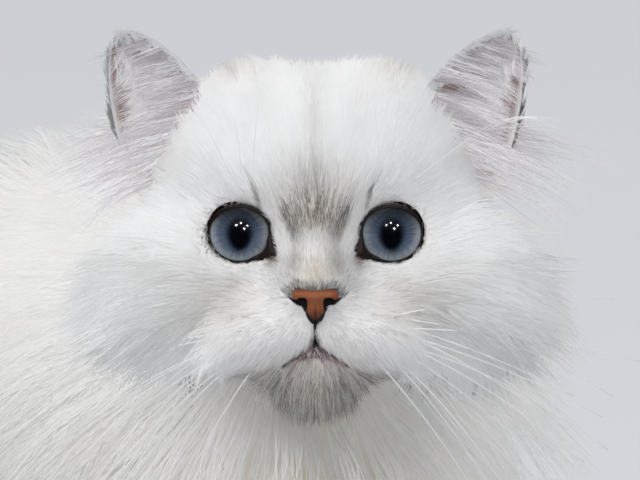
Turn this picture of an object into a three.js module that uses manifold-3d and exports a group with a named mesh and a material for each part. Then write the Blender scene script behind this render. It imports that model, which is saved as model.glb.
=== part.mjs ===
// A long-haired silver shaded cat, lying on its chest with its head raised and turned to its right.
// Millimetres, +Z up. The floor is z = 0, the cat faces -Y and its left side is +X.
// Each flesh node is a core, the skin plus the inner half of the coat, with locks fused to it out to
// the coat's real tips. Nodes are cut clear of the ones above them by JOINT_GAP.
import * as THREE from "three";
import { mergeVertices } from "three/addons/utils/BufferGeometryUtils.js";
import Module from "manifold-3d";

const wasm = await Module();
wasm.setup();

// Driving sizes.
const EYE_SPACING = 44.4; // between the pupils
const EYE_PLACE = [-35, -215, 188]; // midway between the pupils, before the whole is centred
const HEAD_TURN = 30; // degrees to the cat's right
const HEAD_LIFT = 8; // degrees up
const GLOBE_RADIUS = 10.6;
const CORNEA_RADIUS = 8.8;
const CORNEA_RISE = 2.2; // the cornea's centre ahead of the globe's
const CORE_DEPTH = 18; // core over skin on the body, where the tips stand 40 over it
const JOINT_GAP = 0.3;
const CUT_MARGIN = 0.35; // what the upper node of a pair is grown by to cut the lower one
const ROOT_SINK = 5;
const FLOOR_CLEARANCE = 1.5; // lock tips over the floor

const COAT_WHITE = { color: 0xe9e7e3, roughness: 0.9, metalness: 0 };
const FACE_WHITE = { color: 0xe3e0da, roughness: 0.85, metalness: 0 };
const EAR_PINK = { color: 0xcfc0bd, roughness: 0.8, metalness: 0 };
const NOSE_BRICK = { color: 0xa8604a, roughness: 0.5, metalness: 0 };
const EYE_GREY = { color: 0x4a5a6a, roughness: 0.08, metalness: 0 };

const rad = THREE.MathUtils.degToRad;
const vec = (x, y, z) => new THREE.Vector3(x, y, z);
const mix = THREE.MathUtils.lerp;
const DOWN = vec(0, 0, -1);
const BODY_FRAME = new THREE.Matrix4();
const HEAD_FRAME = new THREE.Matrix4().compose(
  vec(...EYE_PLACE),
  new THREE.Quaternion().setFromEuler(new THREE.Euler(rad(-HEAD_LIFT), 0, rad(-HEAD_TURN), "ZXY")),
  vec(1, 1, 1),
);

// The same draws on every run.
function seeded(seed) {
  let state = seed;
  return () => {
    state = (state + 0x6d2b79f5) | 0;
    let t = Math.imul(state ^ (state >>> 15), 1 | state);
    t = (t + Math.imul(t ^ (t >>> 7), 61 | t)) ^ t;
    return ((t ^ (t >>> 14)) >>> 0) / 4294967296;
  };
}

// Moves every vertex of a geometry to place(vertex).
function warp(geometry, place) {
  const points = geometry.attributes.position;
  for (let i = 0; i < points.count; i++) {
    const q = place(vec(points.getX(i), points.getY(i), points.getZ(i)));
    points.setXYZ(i, q.x, q.y, q.z);
  }
  return geometry;
}

// A closed geometry as a solid in the body's frame. side -1 mirrors it to the other side first.
const WELD = 1e-3;
function solidOf(geometry, frame = BODY_FRAME, side = 1) {
  geometry.deleteAttribute("normal");
  geometry.deleteAttribute("uv");
  const merged = mergeVertices(geometry.scale(side, 1, 1).applyMatrix4(frame), WELD);
  if (side < 0) merged.index.array.reverse();
  return new wasm.Manifold(
    new wasm.Mesh({
      numProp: 3,
      vertProperties: merged.attributes.position.array,
      triVerts: new Uint32Array(merged.index.array),
    }),
  );
}

function geometryOf(solid) {
  const { vertProperties, triVerts } = solid.getMesh();
  const geometry = new THREE.BufferGeometry();
  geometry.setAttribute("position", new THREE.BufferAttribute(vertProperties, 3));
  return geometry.setIndex(new THREE.BufferAttribute(triVerts, 1));
}

const joined = (solids) => wasm.Manifold.union(solids);

// The largest closed surface of a solid, so sealed hollows are filled and loose scraps dropped.
function largest(solid) {
  return solid.decompose().reduce((a, b) => (b.volume() > a.volume() ? b : a));
}

// One ellipsoid of a form, rolled about the front-to-back axis by roll degrees.
function blob(centre, radii, roll = 0) {
  const turn = rad(roll);
  return { centre: vec(...centre), radii: vec(...radii), cos: Math.cos(turn), sin: Math.sin(turn) };
}

// The same ellipsoid on both sides of the middle plane.
function pair([x, y, z], radii, roll = 0) {
  return [blob([x, y, z], radii, roll), blob([-x, y, z], radii, -roll)];
}

// Signed distance to an ellipsoid, good near its surface.
function blobDistance({ centre, radii, cos, sin }, p) {
  const x = p.x - centre.x;
  const y = p.y - centre.y;
  const z = p.z - centre.z;
  const u = (x * cos + z * sin) / radii.x;
  const v = y / radii.y;
  const w = (z * cos - x * sin) / radii.z;
  const near = Math.hypot(u, v, w);
  return (near * (near - 1)) / Math.max(1e-6, Math.hypot(u / radii.x, v / radii.y, w / radii.z));
}

function smoothMin(a, b, blend) {
  const h = Math.max(blend - Math.abs(a - b), 0) / blend;
  return Math.min(a, b) - (h * h * blend) / 4;
}

// A smooth blend of ellipsoids with dishes pressed into it, seen as rays from its middle.
class Form {
  constructor({ middle, ...shape }) {
    Object.assign(this, { crisp: [], dishes: [], crispBlend: 3, dishBlend: 5, frame: BODY_FRAME }, shape);
    this.middle = vec(...middle);
  }
  distance(p) {
    let d = this.blobs.reduce((least, b) => smoothMin(least, blobDistance(b, p), this.blend), 1e3);
    d = this.crisp.reduce((least, b) => smoothMin(least, blobDistance(b, p), this.crispBlend), d);
    return this.dishes.reduce((most, b) => -smoothMin(-most, blobDistance(b, p), this.dishBlend), d);
  }
  // The outermost point at that depth over the form, along a ray from its middle.
  point(direction, depth) {
    const at = (t) => this.middle.clone().addScaledVector(direction, t);
    const over = (t) => this.distance(at(t)) - depth;
    let high = 320;
    let step = over(high);
    while (step > 0.02 && high > 1) {
      high -= step * 0.7;
      step = over(Math.max(high, 0));
    }
    return at(Math.max(high, 1));
  }
  normal(p) {
    const e = 0.5;
    const slope = (dx, dy, dz) =>
      this.distance(vec(p.x + dx, p.y + dy, p.z + dz)) - this.distance(vec(p.x - dx, p.y - dy, p.z - dz));
    return vec(slope(e, 0, 0), slope(0, e, 0), slope(0, 0, e)).normalize();
  }
  // A ball geometry pushed out to the form's surface.
  shell(geometry, depth) {
    return solidOf(
      warp(geometry, (p) => this.point(p.normalize(), depth)),
      this.frame,
    );
  }
}

const ball = (detail) => new THREE.IcosahedronGeometry(1, detail);

// Directions spread evenly over a ball.
function spread(count) {
  const golden = Math.PI * (3 - Math.sqrt(5));
  return Array.from({ length: count }, (_, i) => {
    const z = 1 - (2 * i + 1) / count;
    const r = Math.sqrt(1 - z * z);
    return vec(r * Math.cos(golden * i), r * Math.sin(golden * i), z);
  });
}

// A flat tapered lock that bends along a curve, three-sided with its ridge outward. grow widens it
// all round, for cutting its neighbours clear.
const LOCK_SIDES = 3;
const LOCK_STEPS = 2;
const LOCK_TAPER = 2.4; // the higher, the nearer to its tip a lock narrows
const SIDE_TO_CORNER = 2; // a triangle's corners stand twice as far from its middle as its sides
const TIP_STRETCH = 9;
function lockSolid({ line, width, thick, up, frame }, grow = 0) {
  const cone = new THREE.ConeGeometry(1, 1, LOCK_SIDES, LOCK_STEPS);
  const last = line.getPoint(1).sub(line.getPoint(1 - 1 / LOCK_STEPS)).normalize();
  const side = line.getPoint(1).sub(line.getPoint(0)).cross(up).normalize();
  const wider = (SIDE_TO_CORNER * grow) / (thick / 2);
  return solidOf(
    warp(cone, (p) => {
      const t = p.y + 0.5;
      if (t > 0.999) return line.getPoint(1).addScaledVector(last, TIP_STRETCH * grow);
      const size = (1 - t ** LOCK_TAPER + wider) / (1 - t);
      const over = side.clone().cross(line.getTangent(t)).normalize();
      return line
        .getPoint(t)
        .addScaledVector(side, (p.x * size * width) / 2)
        .addScaledVector(over, (p.z * size * thick) / 2);
    }),
    frame,
  );
}

// The curve of a lock that leaves its root, arches over and lies along the coat.
function lockLine(root, normal, lie, { length, lift, droop = 0.25, floor = -Infinity }) {
  const along = lie.clone().addScaledVector(normal, -lie.dot(normal)).normalize();
  const rise = rad(lift);
  const start = root.clone().addScaledVector(normal, -ROOT_SINK);
  const bend = root
    .clone()
    .addScaledVector(along, length * 0.45 * Math.cos(rise))
    .addScaledVector(normal, length * 0.45 * Math.sin(rise));
  const tip = bend
    .clone()
    .addScaledVector(along, length * 0.55 * Math.cos(rise * 0.4))
    .addScaledVector(normal, length * 0.55 * Math.sin(rise * 0.4))
    .addScaledVector(DOWN, length * droop * 0.5);
  bend.z = Math.max(bend.z, floor + 2);
  tip.z = Math.max(tip.z, floor);
  return new THREE.QuadraticBezierCurve3(start, bend, tip);
}

// Locks rooted evenly over a form where keep allows, along the coat's lie.
function coatOf(form, depth, coat) {
  const random = seeded(coat.seed);
  const vary = (amount) => 1 + amount * (2 * random() - 1);
  const roots = [];
  for (const direction of spread(coat.tries ?? 1500)) {
    const root = form.point(direction, depth);
    const normal = form.normal(root);
    const free = roots.every((r) => r.root.distanceTo(root) > coat.spacing);
    if (free && coat.keep(root, normal)) roots.push({ root, normal });
  }
  return roots.map(({ root, normal }) => ({
    line: lockLine(root, normal, coat.lie(root, normal).normalize(), {
      length: coat.length * vary(0.15),
      lift: coat.lift * vary(0.25),
      droop: coat.droop,
      floor: coat.floor ?? FLOOR_CLEARANCE,
    }),
    width: coat.width * vary(0.15),
    thick: coat.thick,
    up: normal,
    frame: form.frame,
  }));
}

// The eyes: a globe with a bulging cornea, looking along -Y of the head.
const EYE_BACK_STEPS = 5;
const EYE_FRONT_STEPS = 3;
function eyeSolid(side, grow = 0) {
  const globe = GLOBE_RADIUS + grow;
  const cornea = CORNEA_RADIUS + grow;
  const meets = Math.acos((globe ** 2 + CORNEA_RISE ** 2 - cornea ** 2) / (2 * globe * CORNEA_RISE));
  const rim = Math.asin((globe * Math.sin(meets)) / cornea);
  const back = Array.from({ length: EYE_BACK_STEPS + 1 }, (_, i) => mix(Math.PI, meets, i / EYE_BACK_STEPS));
  const front = Array.from({ length: EYE_FRONT_STEPS }, (_, i) => mix(rim, 0, (i + 1) / EYE_FRONT_STEPS));
  const profile = [
    ...back.map((a) => new THREE.Vector2(globe * Math.sin(a), globe * Math.cos(a))),
    ...front.map((a) => new THREE.Vector2(cornea * Math.sin(a), CORNEA_RISE + cornea * Math.cos(a))),
  ];
  profile[0].x = 0;
  profile[profile.length - 1].x = 0;
  const lathe = new THREE.LatheGeometry(profile, 18);
  lathe.rotateX(Math.PI);
  lathe.translate(EYE_SPACING / 2, CORNEA_RISE + CORNEA_RADIUS, 0);
  return solidOf(lathe, HEAD_FRAME, side);
}

// The nose leather, with comma nostrils.
const NOSE = new Form({
  middle: [0, -9, -19],
  blobs: [
    blob([0, -9.5, -18.5], [6.6, 6, 3.6]),
    ...pair([4.6, -9, -18.8], [3, 4.6, 2.7]),
    blob([0, -9.5, -22], [3.6, 4.8, 3.6]),
  ],
  blend: 2,
  frame: HEAD_FRAME,
});
function noseSolid() {
  const nostril = ({ x, y, z }) => vec(4.6 + 1.6 * x + 0.5 * z, -14.6 + 3 * y, -20.2 + 1.2 * z + 0.3 * x * x);
  const nostrils = [1, -1].map((side) =>
    solidOf(warp(new THREE.SphereGeometry(1, 8, 5), nostril), HEAD_FRAME, side),
  );
  return NOSE.shell(ball(3), 0).subtract(joined(nostrils));
}

// The ear: a cupped triangle with a rounded tip, given for the cat's left and mirrored for its right.
const EAR_BASE = vec(42, 38, 24);
const EAR_TIP = vec(61.5, 34, 62);
const EAR_INNER = vec(31, 30, 42);
const EAR_OUTER = vec(55, 40, 22);
const EAR_HALF = 17;
const EAR_CUP = 12;
const EAR_THICK = 2.8;
const EAR_UP = EAR_TIP.clone().sub(EAR_BASE);
const EAR_ACROSS = EAR_OUTER.clone().sub(EAR_INNER).normalize();
const EAR_FRONT = EAR_ACROSS.clone().cross(EAR_UP).normalize();

// A place u across and v up the ear, with front measured out of its opening's plane.
function earPoint(u, v, front) {
  const half = EAR_HALF * Math.max(1 - v ** 1.8, 0) ** 0.62;
  return EAR_BASE.clone()
    .addScaledVector(EAR_UP, v)
    .addScaledVector(EAR_ACROSS, half * u)
    .addScaledVector(EAR_FRONT, front);
}
const cupDepth = (v) => EAR_CUP * Math.sin(Math.PI * mix(0.12, 0.97, v)) ** 0.7;

// A cone geometry bent by front(u, s, v) into a piece of the ear: u runs across, s from back to front.
function earPiece(side, front) {
  const cone = warp(new THREE.ConeGeometry(1, 1, 12, 6), (p) => {
    const v = p.y + 0.5;
    const left = Math.max(1 - v, 1e-6);
    const u = v < 1 ? p.x / left : 0;
    const s = v < 1 ? p.z / left : 0;
    return earPoint(u, v, front(u, s, v));
  });
  return solidOf(cone, HEAD_FRAME, side);
}
function earShell(side, grow = 0) {
  const half = EAR_THICK / 2 + grow;
  return earPiece(side, (u, s, v) => half * s * (1 - 0.5 * v) - cupDepth(v) * (1 - u * u));
}
const earHollow = (side) => earPiece(side, (u, s, v) => (s > 0 ? 5 * s : -cupDepth(v) * s * s));

// Long furnishings cross the ear's cup from its inner edge, and a tuft stands on its tip.
function earLocks(side) {
  const mirror = (p) => vec(side * p.x, p.y, p.z);
  const lock = (root, way, length, width, sag) => {
    const end = root.clone().addScaledVector(way, length);
    const middle = root.clone().lerp(end, 0.5).addScaledVector(EAR_FRONT, length * 0.12);
    end.z -= sag;
    return {
      line: new THREE.QuadraticBezierCurve3(mirror(root), mirror(middle), mirror(end)),
      width,
      thick: 1.6,
      up: mirror(EAR_FRONT),
      frame: HEAD_FRAME,
    };
  };
  const furnishings = Array.from({ length: 4 }, (_, i) => {
    const v = 0.34 + 0.145 * i;
    const way = EAR_ACROSS.clone().addScaledVector(EAR_FRONT, 0.45).normalize();
    return lock(earPoint(-0.8, v, -cupDepth(v) * 0.36), way, mix(36, 20, i / 3), 8, mix(2, -8, i / 3));
  });
  const tuft = [-0.25, 0.05, 0.35].map((lean) => {
    const way = EAR_UP.clone().normalize().addScaledVector(EAR_ACROSS, 0.3 + lean).normalize();
    return lock(earPoint(0, 0.9, -cupDepth(0.9)), way, 17, 4, 0);
  });
  return [...furnishings, ...tuft];
}

// The head as far as its short coat reaches, in its own frame: X to the side, Y back, Z up from the pupils.
const HEAD = new Form({
  middle: [0, 22, -12],
  blobs: [
    blob([0, 43, 10], [51, 44, 43]),
    ...pair([19, 38, 33], [19, 25, 19]),
    ...pair([33, 27, -14], [24, 28, 26]),
    blob([0, 28, -30], [32, 30, 18]),
    blob([0, 2, -9], [11, 15, 13]),
    blob([0, 12, -27], [27, 14, 14]),
    ...pair([41, 46, 30], [15, 13, 14]),
  ],
  crisp: [
    blob([0, -3, -17], [10, 10, 7]),
    ...pair([13.5, 1, -30.5], [19, 13.5, 10.5], -12),
    blob([0, 3, -43], [12.5, 11.5, 8.5]),
  ],
  dishes: pair([EYE_SPACING / 2, -14, 0], [17, 20, 16]),
  blend: 9,
  crispBlend: 8,
  frame: HEAD_FRAME,
});

// How far a place given in the body's frame is outside the head.
const TO_HEAD = HEAD_FRAME.clone().invert();
const headSpace = (p) => HEAD.distance(p.clone().applyMatrix4(TO_HEAD));

// Where a line along Y first meets the face.
function faceAt(x, z) {
  let y = -40;
  let over = HEAD.distance(vec(x, y, z));
  while (over > 0.02 && y < 80) {
    y += Math.max(0.02, over * 0.7);
    over = HEAD.distance(vec(x, y, z));
  }
  return y;
}

// A ball with its front pole on the nose and its rings crowded toward it.
const NOSE_TILT = Math.atan2(8, 37);
const FACE_GRID = [30, 22];
function faceGrid(around, rings) {
  return warp(new THREE.SphereGeometry(1, around, rings), (p) => {
    const turn = Math.atan2(p.z, p.x);
    const front = Math.PI - Math.acos(THREE.MathUtils.clamp(p.y, -1, 1));
    const eased = front * mix(0.72, 1, front / Math.PI);
    const across = Math.sin(eased);
    const way = vec(across * Math.cos(turn), -Math.cos(eased), across * Math.sin(turn));
    return way.applyAxisAngle(vec(1, 0, 0), NOSE_TILT);
  });
}

// The eye's opening, drawn down into the inner corner.
const OPENING_WIDE = 9.2;
const OPENING_HIGH = 8;
const OPENING_DEEP = 6.5;
const TEAR_REACH = 2.4;
const TEAR_CORNER = rad(180 + 34);
function eyeOpening(around) {
  const turned = ((around % (2 * Math.PI)) + 2 * Math.PI) % (2 * Math.PI);
  const corner = Math.exp(-(((turned - TEAR_CORNER) / 0.32) ** 2));
  const oval = 1 / Math.hypot(Math.cos(around) / OPENING_WIDE, Math.sin(around) / OPENING_HIGH);
  return oval + TEAR_REACH * corner;
}

// The space in front of the eyeball.
function openingSolid(side) {
  const hole = warp(new THREE.CylinderGeometry(1, 1, 1, 20, 1), (p) => {
    const around = Math.atan2(p.z, p.x);
    const radius = Math.hypot(p.x, p.z) * eyeOpening(around);
    const y = p.y < 0 ? -30 : OPENING_DEEP;
    return vec(EYE_SPACING / 2 + radius * Math.cos(around), y, radius * Math.sin(around));
  });
  return solidOf(hole, HEAD_FRAME, side);
}

// The lids: a closed rim on the face round the opening.
const LID_RADIUS = 1.4;
function lidSolid(side) {
  const ring = warp(new THREE.TorusGeometry(1, 0.5, 4, 20), (p) => {
    const around = Math.atan2(p.y, p.x);
    const across = Math.hypot(p.x, p.y) - 1;
    const middle = eyeOpening(around) + LID_RADIUS * 0.7;
    const surface = faceAt(EYE_SPACING / 2 + middle * Math.cos(around), middle * Math.sin(around));
    const radius = middle + LID_RADIUS * 2 * across;
    return vec(
      EYE_SPACING / 2 + radius * Math.cos(around),
      surface + 0.5 - 2 * LID_RADIUS * p.z,
      radius * Math.sin(around),
    );
  });
  return solidOf(ring, HEAD_FRAME, side);
}

// A tube along a line of places on the face given as (x, z), that depth under its surface.
function faceTube(places, radius, depth) {
  const outline = new THREE.Shape().absarc(0, 0, radius, 0, 2 * Math.PI, false);
  const tube = new THREE.ExtrudeGeometry(outline, {
    steps: 2 * (places.length - 1),
    curveSegments: 2,
    extrudePath: new THREE.CatmullRomCurve3(places.map(([x, z]) => vec(x, faceAt(x, z) + depth, z))),
  });
  return solidOf(tube, HEAD_FRAME);
}

// The mouth's line runs down from the nose and out under each whisker pad, over the lower lip.
const MOUTH_MIDDLE = [[0, -25.5], [0, -28.5], [0, -31.6]];
const MOUTH_SIDE = [[0, -31.2], [3.2, -33], [6.4, -35.2], [9.6, -37.6]];
const MOUTH_RADIUS = 0.9;
const LIP_DROP = 2;
const mouthLine = (side, drop) => MOUTH_SIDE.map(([x, z]) => [side * x, z - drop]);

const SIDES = [1, -1];
function headFlesh() {
  const skull = HEAD.shell(faceGrid(...FACE_GRID), 0).subtract(joined(SIDES.map(openingSolid)));
  const lips = SIDES.map((side) => faceTube(mouthLine(side, LIP_DROP), MOUTH_RADIUS, 0.3));
  const sideGrooves = SIDES.map((side) => faceTube(mouthLine(side, 0), MOUTH_RADIUS, 0.2));
  const middleGroove = faceTube(MOUTH_MIDDLE, MOUTH_RADIUS, 0.2);
  return joined([skull, ...SIDES.map(lidSolid), ...lips]).subtract(joined([middleGroove, ...sideGrooves]));
}

// Cheek locks run out, down and back from the sides of the face.
const CHEEK_COAT = {
  seed: 3,
  spacing: 24,
  length: 42,
  width: 22,
  thick: 5,
  lift: 28,
  droop: 0.3,
  floor: -Infinity,
  keep: (p) => Math.abs(p.x) > 36 && p.y > 14 && p.y < 62 && p.z < 22,
  lie: (p) => vec(Math.sign(p.x) * 0.8, 0.5, -0.8),
};

// The neck and its ruff.
const NECK_CORE = 15;
const NECK = new Form({
  middle: [-2, -118, 134],
  blobs: [blob([0, -100, 126], [46, 48, 42]), blob([-5, -138, 140], [38, 34, 38])],
  blend: 20,
});
const RUFF_COAT = {
  seed: 5,
  spacing: 39,
  length: 70,
  width: 39,
  thick: 8,
  lift: 34,
  droop: 0.35,
  keep: (p) => p.y < -64 && p.z > 96 && headSpace(p) > 6,
  lie: (p) => {
    const out = vec(p.x + 8, 0, p.z - 138).normalize();
    const back = mix(0.15, 1, THREE.MathUtils.clamp((p.z - 110) / 80, 0, 1));
    return vec(out.x * 0.5, back, -1 + 0.9 * Math.max(out.z, 0));
  },
};

// The chest's bib.
const CHEST = new Form({
  middle: [0, -110, 82],
  blobs: [blob([0, -104, 80], [54, 52, 62]), blob([-4, -122, 108], [46, 38, 38])],
  blend: 20,
});
const BIB_COAT = {
  seed: 7,
  spacing: 44,
  length: 68,
  width: 42,
  thick: 8,
  lift: 26,
  droop: 0.3,
  keep: (p, n) => p.y < -105 && n.z > -0.5 && p.z > 58 && NECK.distance(p) > 16 && forelegSpace(p) > 16,
  lie: (p) => vec(p.x * 0.008, 0.1, -1),
};

// The trunk from shoulders to rump.
const TORSO = new Form({
  middle: [0, 45, 88],
  blobs: [
    blob([0, -30, 92], [58, 95, 76]),
    blob([0, -62, 130], [38, 50, 44]),
    blob([0, 60, 92], [56, 92, 78]),
    blob([0, 128, 84], [62, 72, 70]),
  ],
  blend: 20,
});
const BODY_COAT = {
  seed: 11,
  spacing: 66,
  length: 102,
  width: 62,
  thick: 11,
  lift: 26,
  droop: 0.25,
  tries: 2500,
  keep: (p, n) =>
    n.z > -0.3 &&
    p.z > 44 &&
    NECK.distance(p) > 30 &&
    CHEST.distance(p) > 24 &&
    thighSpace(p) > 16 &&
    forelegSpace(p) > 20,
  lie: (p, n) => vec(n.x * 0.25, 0.8, -0.9 * Math.abs(n.x) - 0.08),
};

// The thigh with its knee, folded along the flank.
const thigh = (side) =>
  new Form({
    middle: [side * 60, 95, 55],
    blobs: [blob([side * 58, 112, 62], [34, 62, 56]), blob([side * 68, 58, 34], [20, 38, 30])],
    blend: 16,
  });
const thighSpace = (p) => thigh(Math.sign(p.x)).distance(p);
const thighCoat = (side) => ({
  seed: 13 + side,
  spacing: 60,
  length: 74,
  width: 50,
  thick: 9,
  lift: 26,
  droop: 0.25,
  keep: (p, n) => n.x * side > 0.25 && n.z > -0.5 && p.z > 18,
  lie: () => vec(side * 0.1, 0.75, -0.7),
});

// The hind foot lies flat along the floor beside the belly.
const TOES = [-1.5, -0.5, 0.5, 1.5];
const hindFoot = (side) =>
  new Form({
    middle: [side * 80, 42, 12],
    blobs: [blob([side * 81, 66, 14], [15, 52, 16]), blob([side * 79, 14, 13], [17, 24, 15])],
    crisp: TOES.map((i) => blob([side * 79 + 8 * i, -9 + 1.6 * i * i, 9], [5.5, 8, 8])),
    blend: 8,
    crispBlend: 2.5,
  });

// The forearm reaches forward on the floor to the paw.
const foreleg = (side) =>
  new Form({
    middle: [side * 45, -125, 24],
    blobs: [
      blob([side * 54, -84, 36], [22, 34, 36]),
      blob([side * 45, -130, 24], [19, 50, 23]),
      blob([side * 38, -178, 17], [16, 28, 18]),
    ],
    blend: 12,
  });
const forelegSpace = (p) => foreleg(Math.sign(p.x)).distance(p);
const forelegCoat = (side) => ({
  seed: 17 + side,
  spacing: 42,
  length: 50,
  width: 36,
  thick: 7,
  lift: 24,
  droop: 0.3,
  keep: (p, n) => n.x * side > 0.1 && p.z > 14 && n.z > -0.3,
  lie: () => vec(side * 0.5, 0.7, -0.6),
});
const forePaw = (side) =>
  new Form({
    middle: [side * 34, -214, 12],
    blobs: [blob([side * 34, -210, 15], [19, 26, 16])],
    crisp: TOES.map((i) => blob([side * 34 + 8.6 * i, -233 + 1.8 * i * i, 9.5], [6, 9, 9])),
    blend: 6,
    crispBlend: 2.5,
  });

// The tail: a bushy brush that leaves the rump and curls forward along the floor on the cat's left.
const TAIL_LINE = new THREE.CatmullRomCurve3([
  vec(10, 188, 50),
  vec(42, 230, 24),
  vec(98, 226, 20),
  vec(134, 172, 20),
  vec(142, 105, 20),
  vec(136, 38, 19),
]);
const TAIL_PARTS = 3;
const TAIL_CORE = 21;
const TAIL_ROUNDING = 0.14; // the share of its length in which the tail closes
function tailFullness(t) {
  const toEnd = Math.max(0, 1 - (1 - t) / TAIL_ROUNDING);
  return mix(0.75, 1, Math.min(1, t * 3)) * Math.sqrt(Math.max(1e-4, 1 - toEnd ** 2));
}
function tailPoint(t, angle) {
  const tangent = TAIL_LINE.getTangentAt(t);
  const side = tangent.clone().cross(vec(0, 0, 1)).normalize();
  const over = side.clone().cross(tangent);
  return {
    centre: TAIL_LINE.getPointAt(t),
    out: side.multiplyScalar(Math.cos(angle)).addScaledVector(over, Math.sin(angle)),
    tangent,
  };
}
function tailCore(part, grow = 0) {
  const length = TAIL_LINE.getLength();
  const from = part / TAIL_PARTS + (part ? 0 : -grow / length);
  const to = (part + 1) / TAIL_PARTS - (part < TAIL_PARTS - 1 ? JOINT_GAP / length : 0);
  const tube = warp(new THREE.CylinderGeometry(1, 1, 1, 12, 6), (p) => {
    const t = THREE.MathUtils.clamp(mix(from, to, p.y + 0.5), 0, 1);
    const spot = tailPoint(t, Math.atan2(p.z, p.x));
    const r = Math.hypot(p.x, p.z) * (TAIL_CORE * tailFullness(t) + grow);
    return spot.centre.addScaledVector(spot.out, r);
  });
  return solidOf(tube);
}
const TAIL_ROWS = 2;
const TAIL_AROUND = 3;
function tailLocks(part) {
  const random = seeded(23 + part);
  const locks = [];
  for (let row = 0; row < TAIL_ROWS; row++) {
    for (let k = 0; k < TAIL_AROUND; k++) {
      const t = (part + (row + 0.35 + 0.3 * random()) / TAIL_ROWS) / TAIL_PARTS;
      const angle = mix(-0.12, 1.12, (k + 0.5 * (row % 2) + 0.2 * random()) / TAIL_AROUND) * Math.PI;
      const spot = tailPoint(t, angle);
      const root = spot.centre.clone().addScaledVector(spot.out, TAIL_CORE * tailFullness(t));
      locks.push({
        line: lockLine(root, spot.out, spot.tangent, {
          length: 60 * (0.9 + 0.2 * random()),
          lift: 27,
          droop: 0.1,
          floor: FLOOR_CLEARANCE,
        }),
        width: 38,
        thick: 8,
        up: spot.out,
        frame: BODY_FRAME,
      });
    }
  }
  return locks;
}

// A core with its locks: the solid itself, and one grown to cut what lies under it.
const withLocks = (core, grownCore, locks) => ({
  solid: joined([core, ...locks.map((l) => lockSolid(l))]),
  grown: joined([grownCore, ...locks.map((l) => lockSolid(l, CUT_MARGIN))]),
});
function coated(form, detail, depth, coat) {
  const grown = form.shell(ball(detail), depth + CUT_MARGIN);
  return withLocks(form.shell(ball(detail), depth), grown, coat ? coatOf(form, depth, coat) : []);
}

// Every node in the order in which they are cut: each is cut clear of the ones before it.
const SIDE_NAMES = [[1, "left"], [-1, "right"]];
const parts = [];
const inHead = (name, look, made) => parts.push({ name, look, inHead: true, ...made });
const onBody = (name, made) => parts.push({ name, look: COAT_WHITE, ...made });
for (const [side, name] of SIDE_NAMES)
  inHead("eye_" + name, EYE_GREY, { solid: eyeSolid(side), grown: eyeSolid(side, CUT_MARGIN) });
inHead("nose", NOSE_BRICK, { solid: noseSolid(), grown: NOSE.shell(ball(2), 2 * CUT_MARGIN) });
for (const [side, name] of SIDE_NAMES) {
  const grown = joined([earShell(side, CUT_MARGIN), earHollow(side)]);
  inHead("ear_" + name, EAR_PINK, withLocks(earShell(side), grown, earLocks(side)));
}
const grownHead = joined([headFlesh(), HEAD.shell(faceGrid(...FACE_GRID), CUT_MARGIN)]);
inHead("head", FACE_WHITE, withLocks(headFlesh(), grownHead, coatOf(HEAD, 0, CHEEK_COAT)));
onBody("neck_ruff", coated(NECK, 3, NECK_CORE, RUFF_COAT));
onBody("chest", coated(CHEST, 3, CORE_DEPTH, BIB_COAT));
onBody("torso", coated(TORSO, 4, CORE_DEPTH, BODY_COAT));
for (const [side, name] of SIDE_NAMES) {
  onBody("thigh_" + name, coated(thigh(side), 3, 12, thighCoat(side)));
  onBody("hind_foot_" + name, coated(hindFoot(side), 3, 0));
  onBody("fore_paw_" + name, coated(forePaw(side), 3, 0));
  onBody("foreleg_" + name, coated(foreleg(side), 3, 5, forelegCoat(side)));
}
for (let part = 0; part < TAIL_PARTS; part++)
  onBody("tail_" + (part + 1), withLocks(tailCore(part), tailCore(part, CUT_MARGIN), tailLocks(part)));

// Every node cut clear of the ones before it and down to the floor.
let taken = parts[0].grown;
for (const part of parts) {
  const clear = part === parts[0] ? part.solid : part.solid.subtract(taken);
  part.cut = largest(clear.trimByPlane([0, 0, 1], 0));
  taken = joined([taken, part.grown]);
}

// The origin is on the floor under the middle of the whole.
const boxes = parts.map(({ cut }) => cut.boundingBox());
const middleOf = (axis) =>
  (Math.min(...boxes.map((b) => b.min[axis])) + Math.max(...boxes.map((b) => b.max[axis]))) / 2;
const CENTRED = new THREE.Matrix4().makeTranslation(-middleOf(0), -middleOf(1), 0);
for (const part of parts) part.cut = part.cut.translate([-middleOf(0), -middleOf(1), 0]);

// A mesh of a node, its geometry given from the middle of its box and placed there in its group.
// Storing it in 32 bits can pinch off a scrap, which is dropped.
function meshOf({ name, look, cut }, group) {
  const geometry = geometryOf(cut).applyMatrix4(group.matrixWorld.clone().invert());
  geometry.computeBoundingBox();
  const middle = geometry.boundingBox.getCenter(vec(0, 0, 0));
  geometry.translate(-middle.x, -middle.y, -middle.z);
  const place = group.matrixWorld.clone().multiply(new THREE.Matrix4().setPosition(middle));
  const stored = solidOf(geometry.clone(), place);
  if (stored.decompose().length > 1) return meshOf({ name, look, cut: largest(stored) }, group);
  const mesh = new THREE.Mesh(geometry, new THREE.MeshStandardMaterial(look));
  mesh.name = name;
  mesh.position.copy(middle);
  return group.add(mesh);
}

// The head's pieces hang in a group that is placed and turned in the cat's.
const cat = new THREE.Group();
const headGroup = new THREE.Group();
headGroup.applyMatrix4(CENTRED.clone().multiply(HEAD_FRAME));
cat.add(headGroup);
cat.updateMatrixWorld(true);
for (const part of parts) meshOf(part, part.inHead ? headGroup : cat);

export default cat;
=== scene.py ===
"""A long-haired silver shaded cat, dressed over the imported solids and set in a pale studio.

Lengths are millimetres unless a name says metres. Body places are in the cat's frame before it was
centred on the floor, and head places in the head's own frame: X to the side, Y back into the head and
Z up, from midway between the pupils. One smooth skin lies under the coat, and the coat is mesh tufts.
"""

import math

import bpy
import numpy as np
from mathutils import Matrix, Vector

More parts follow.
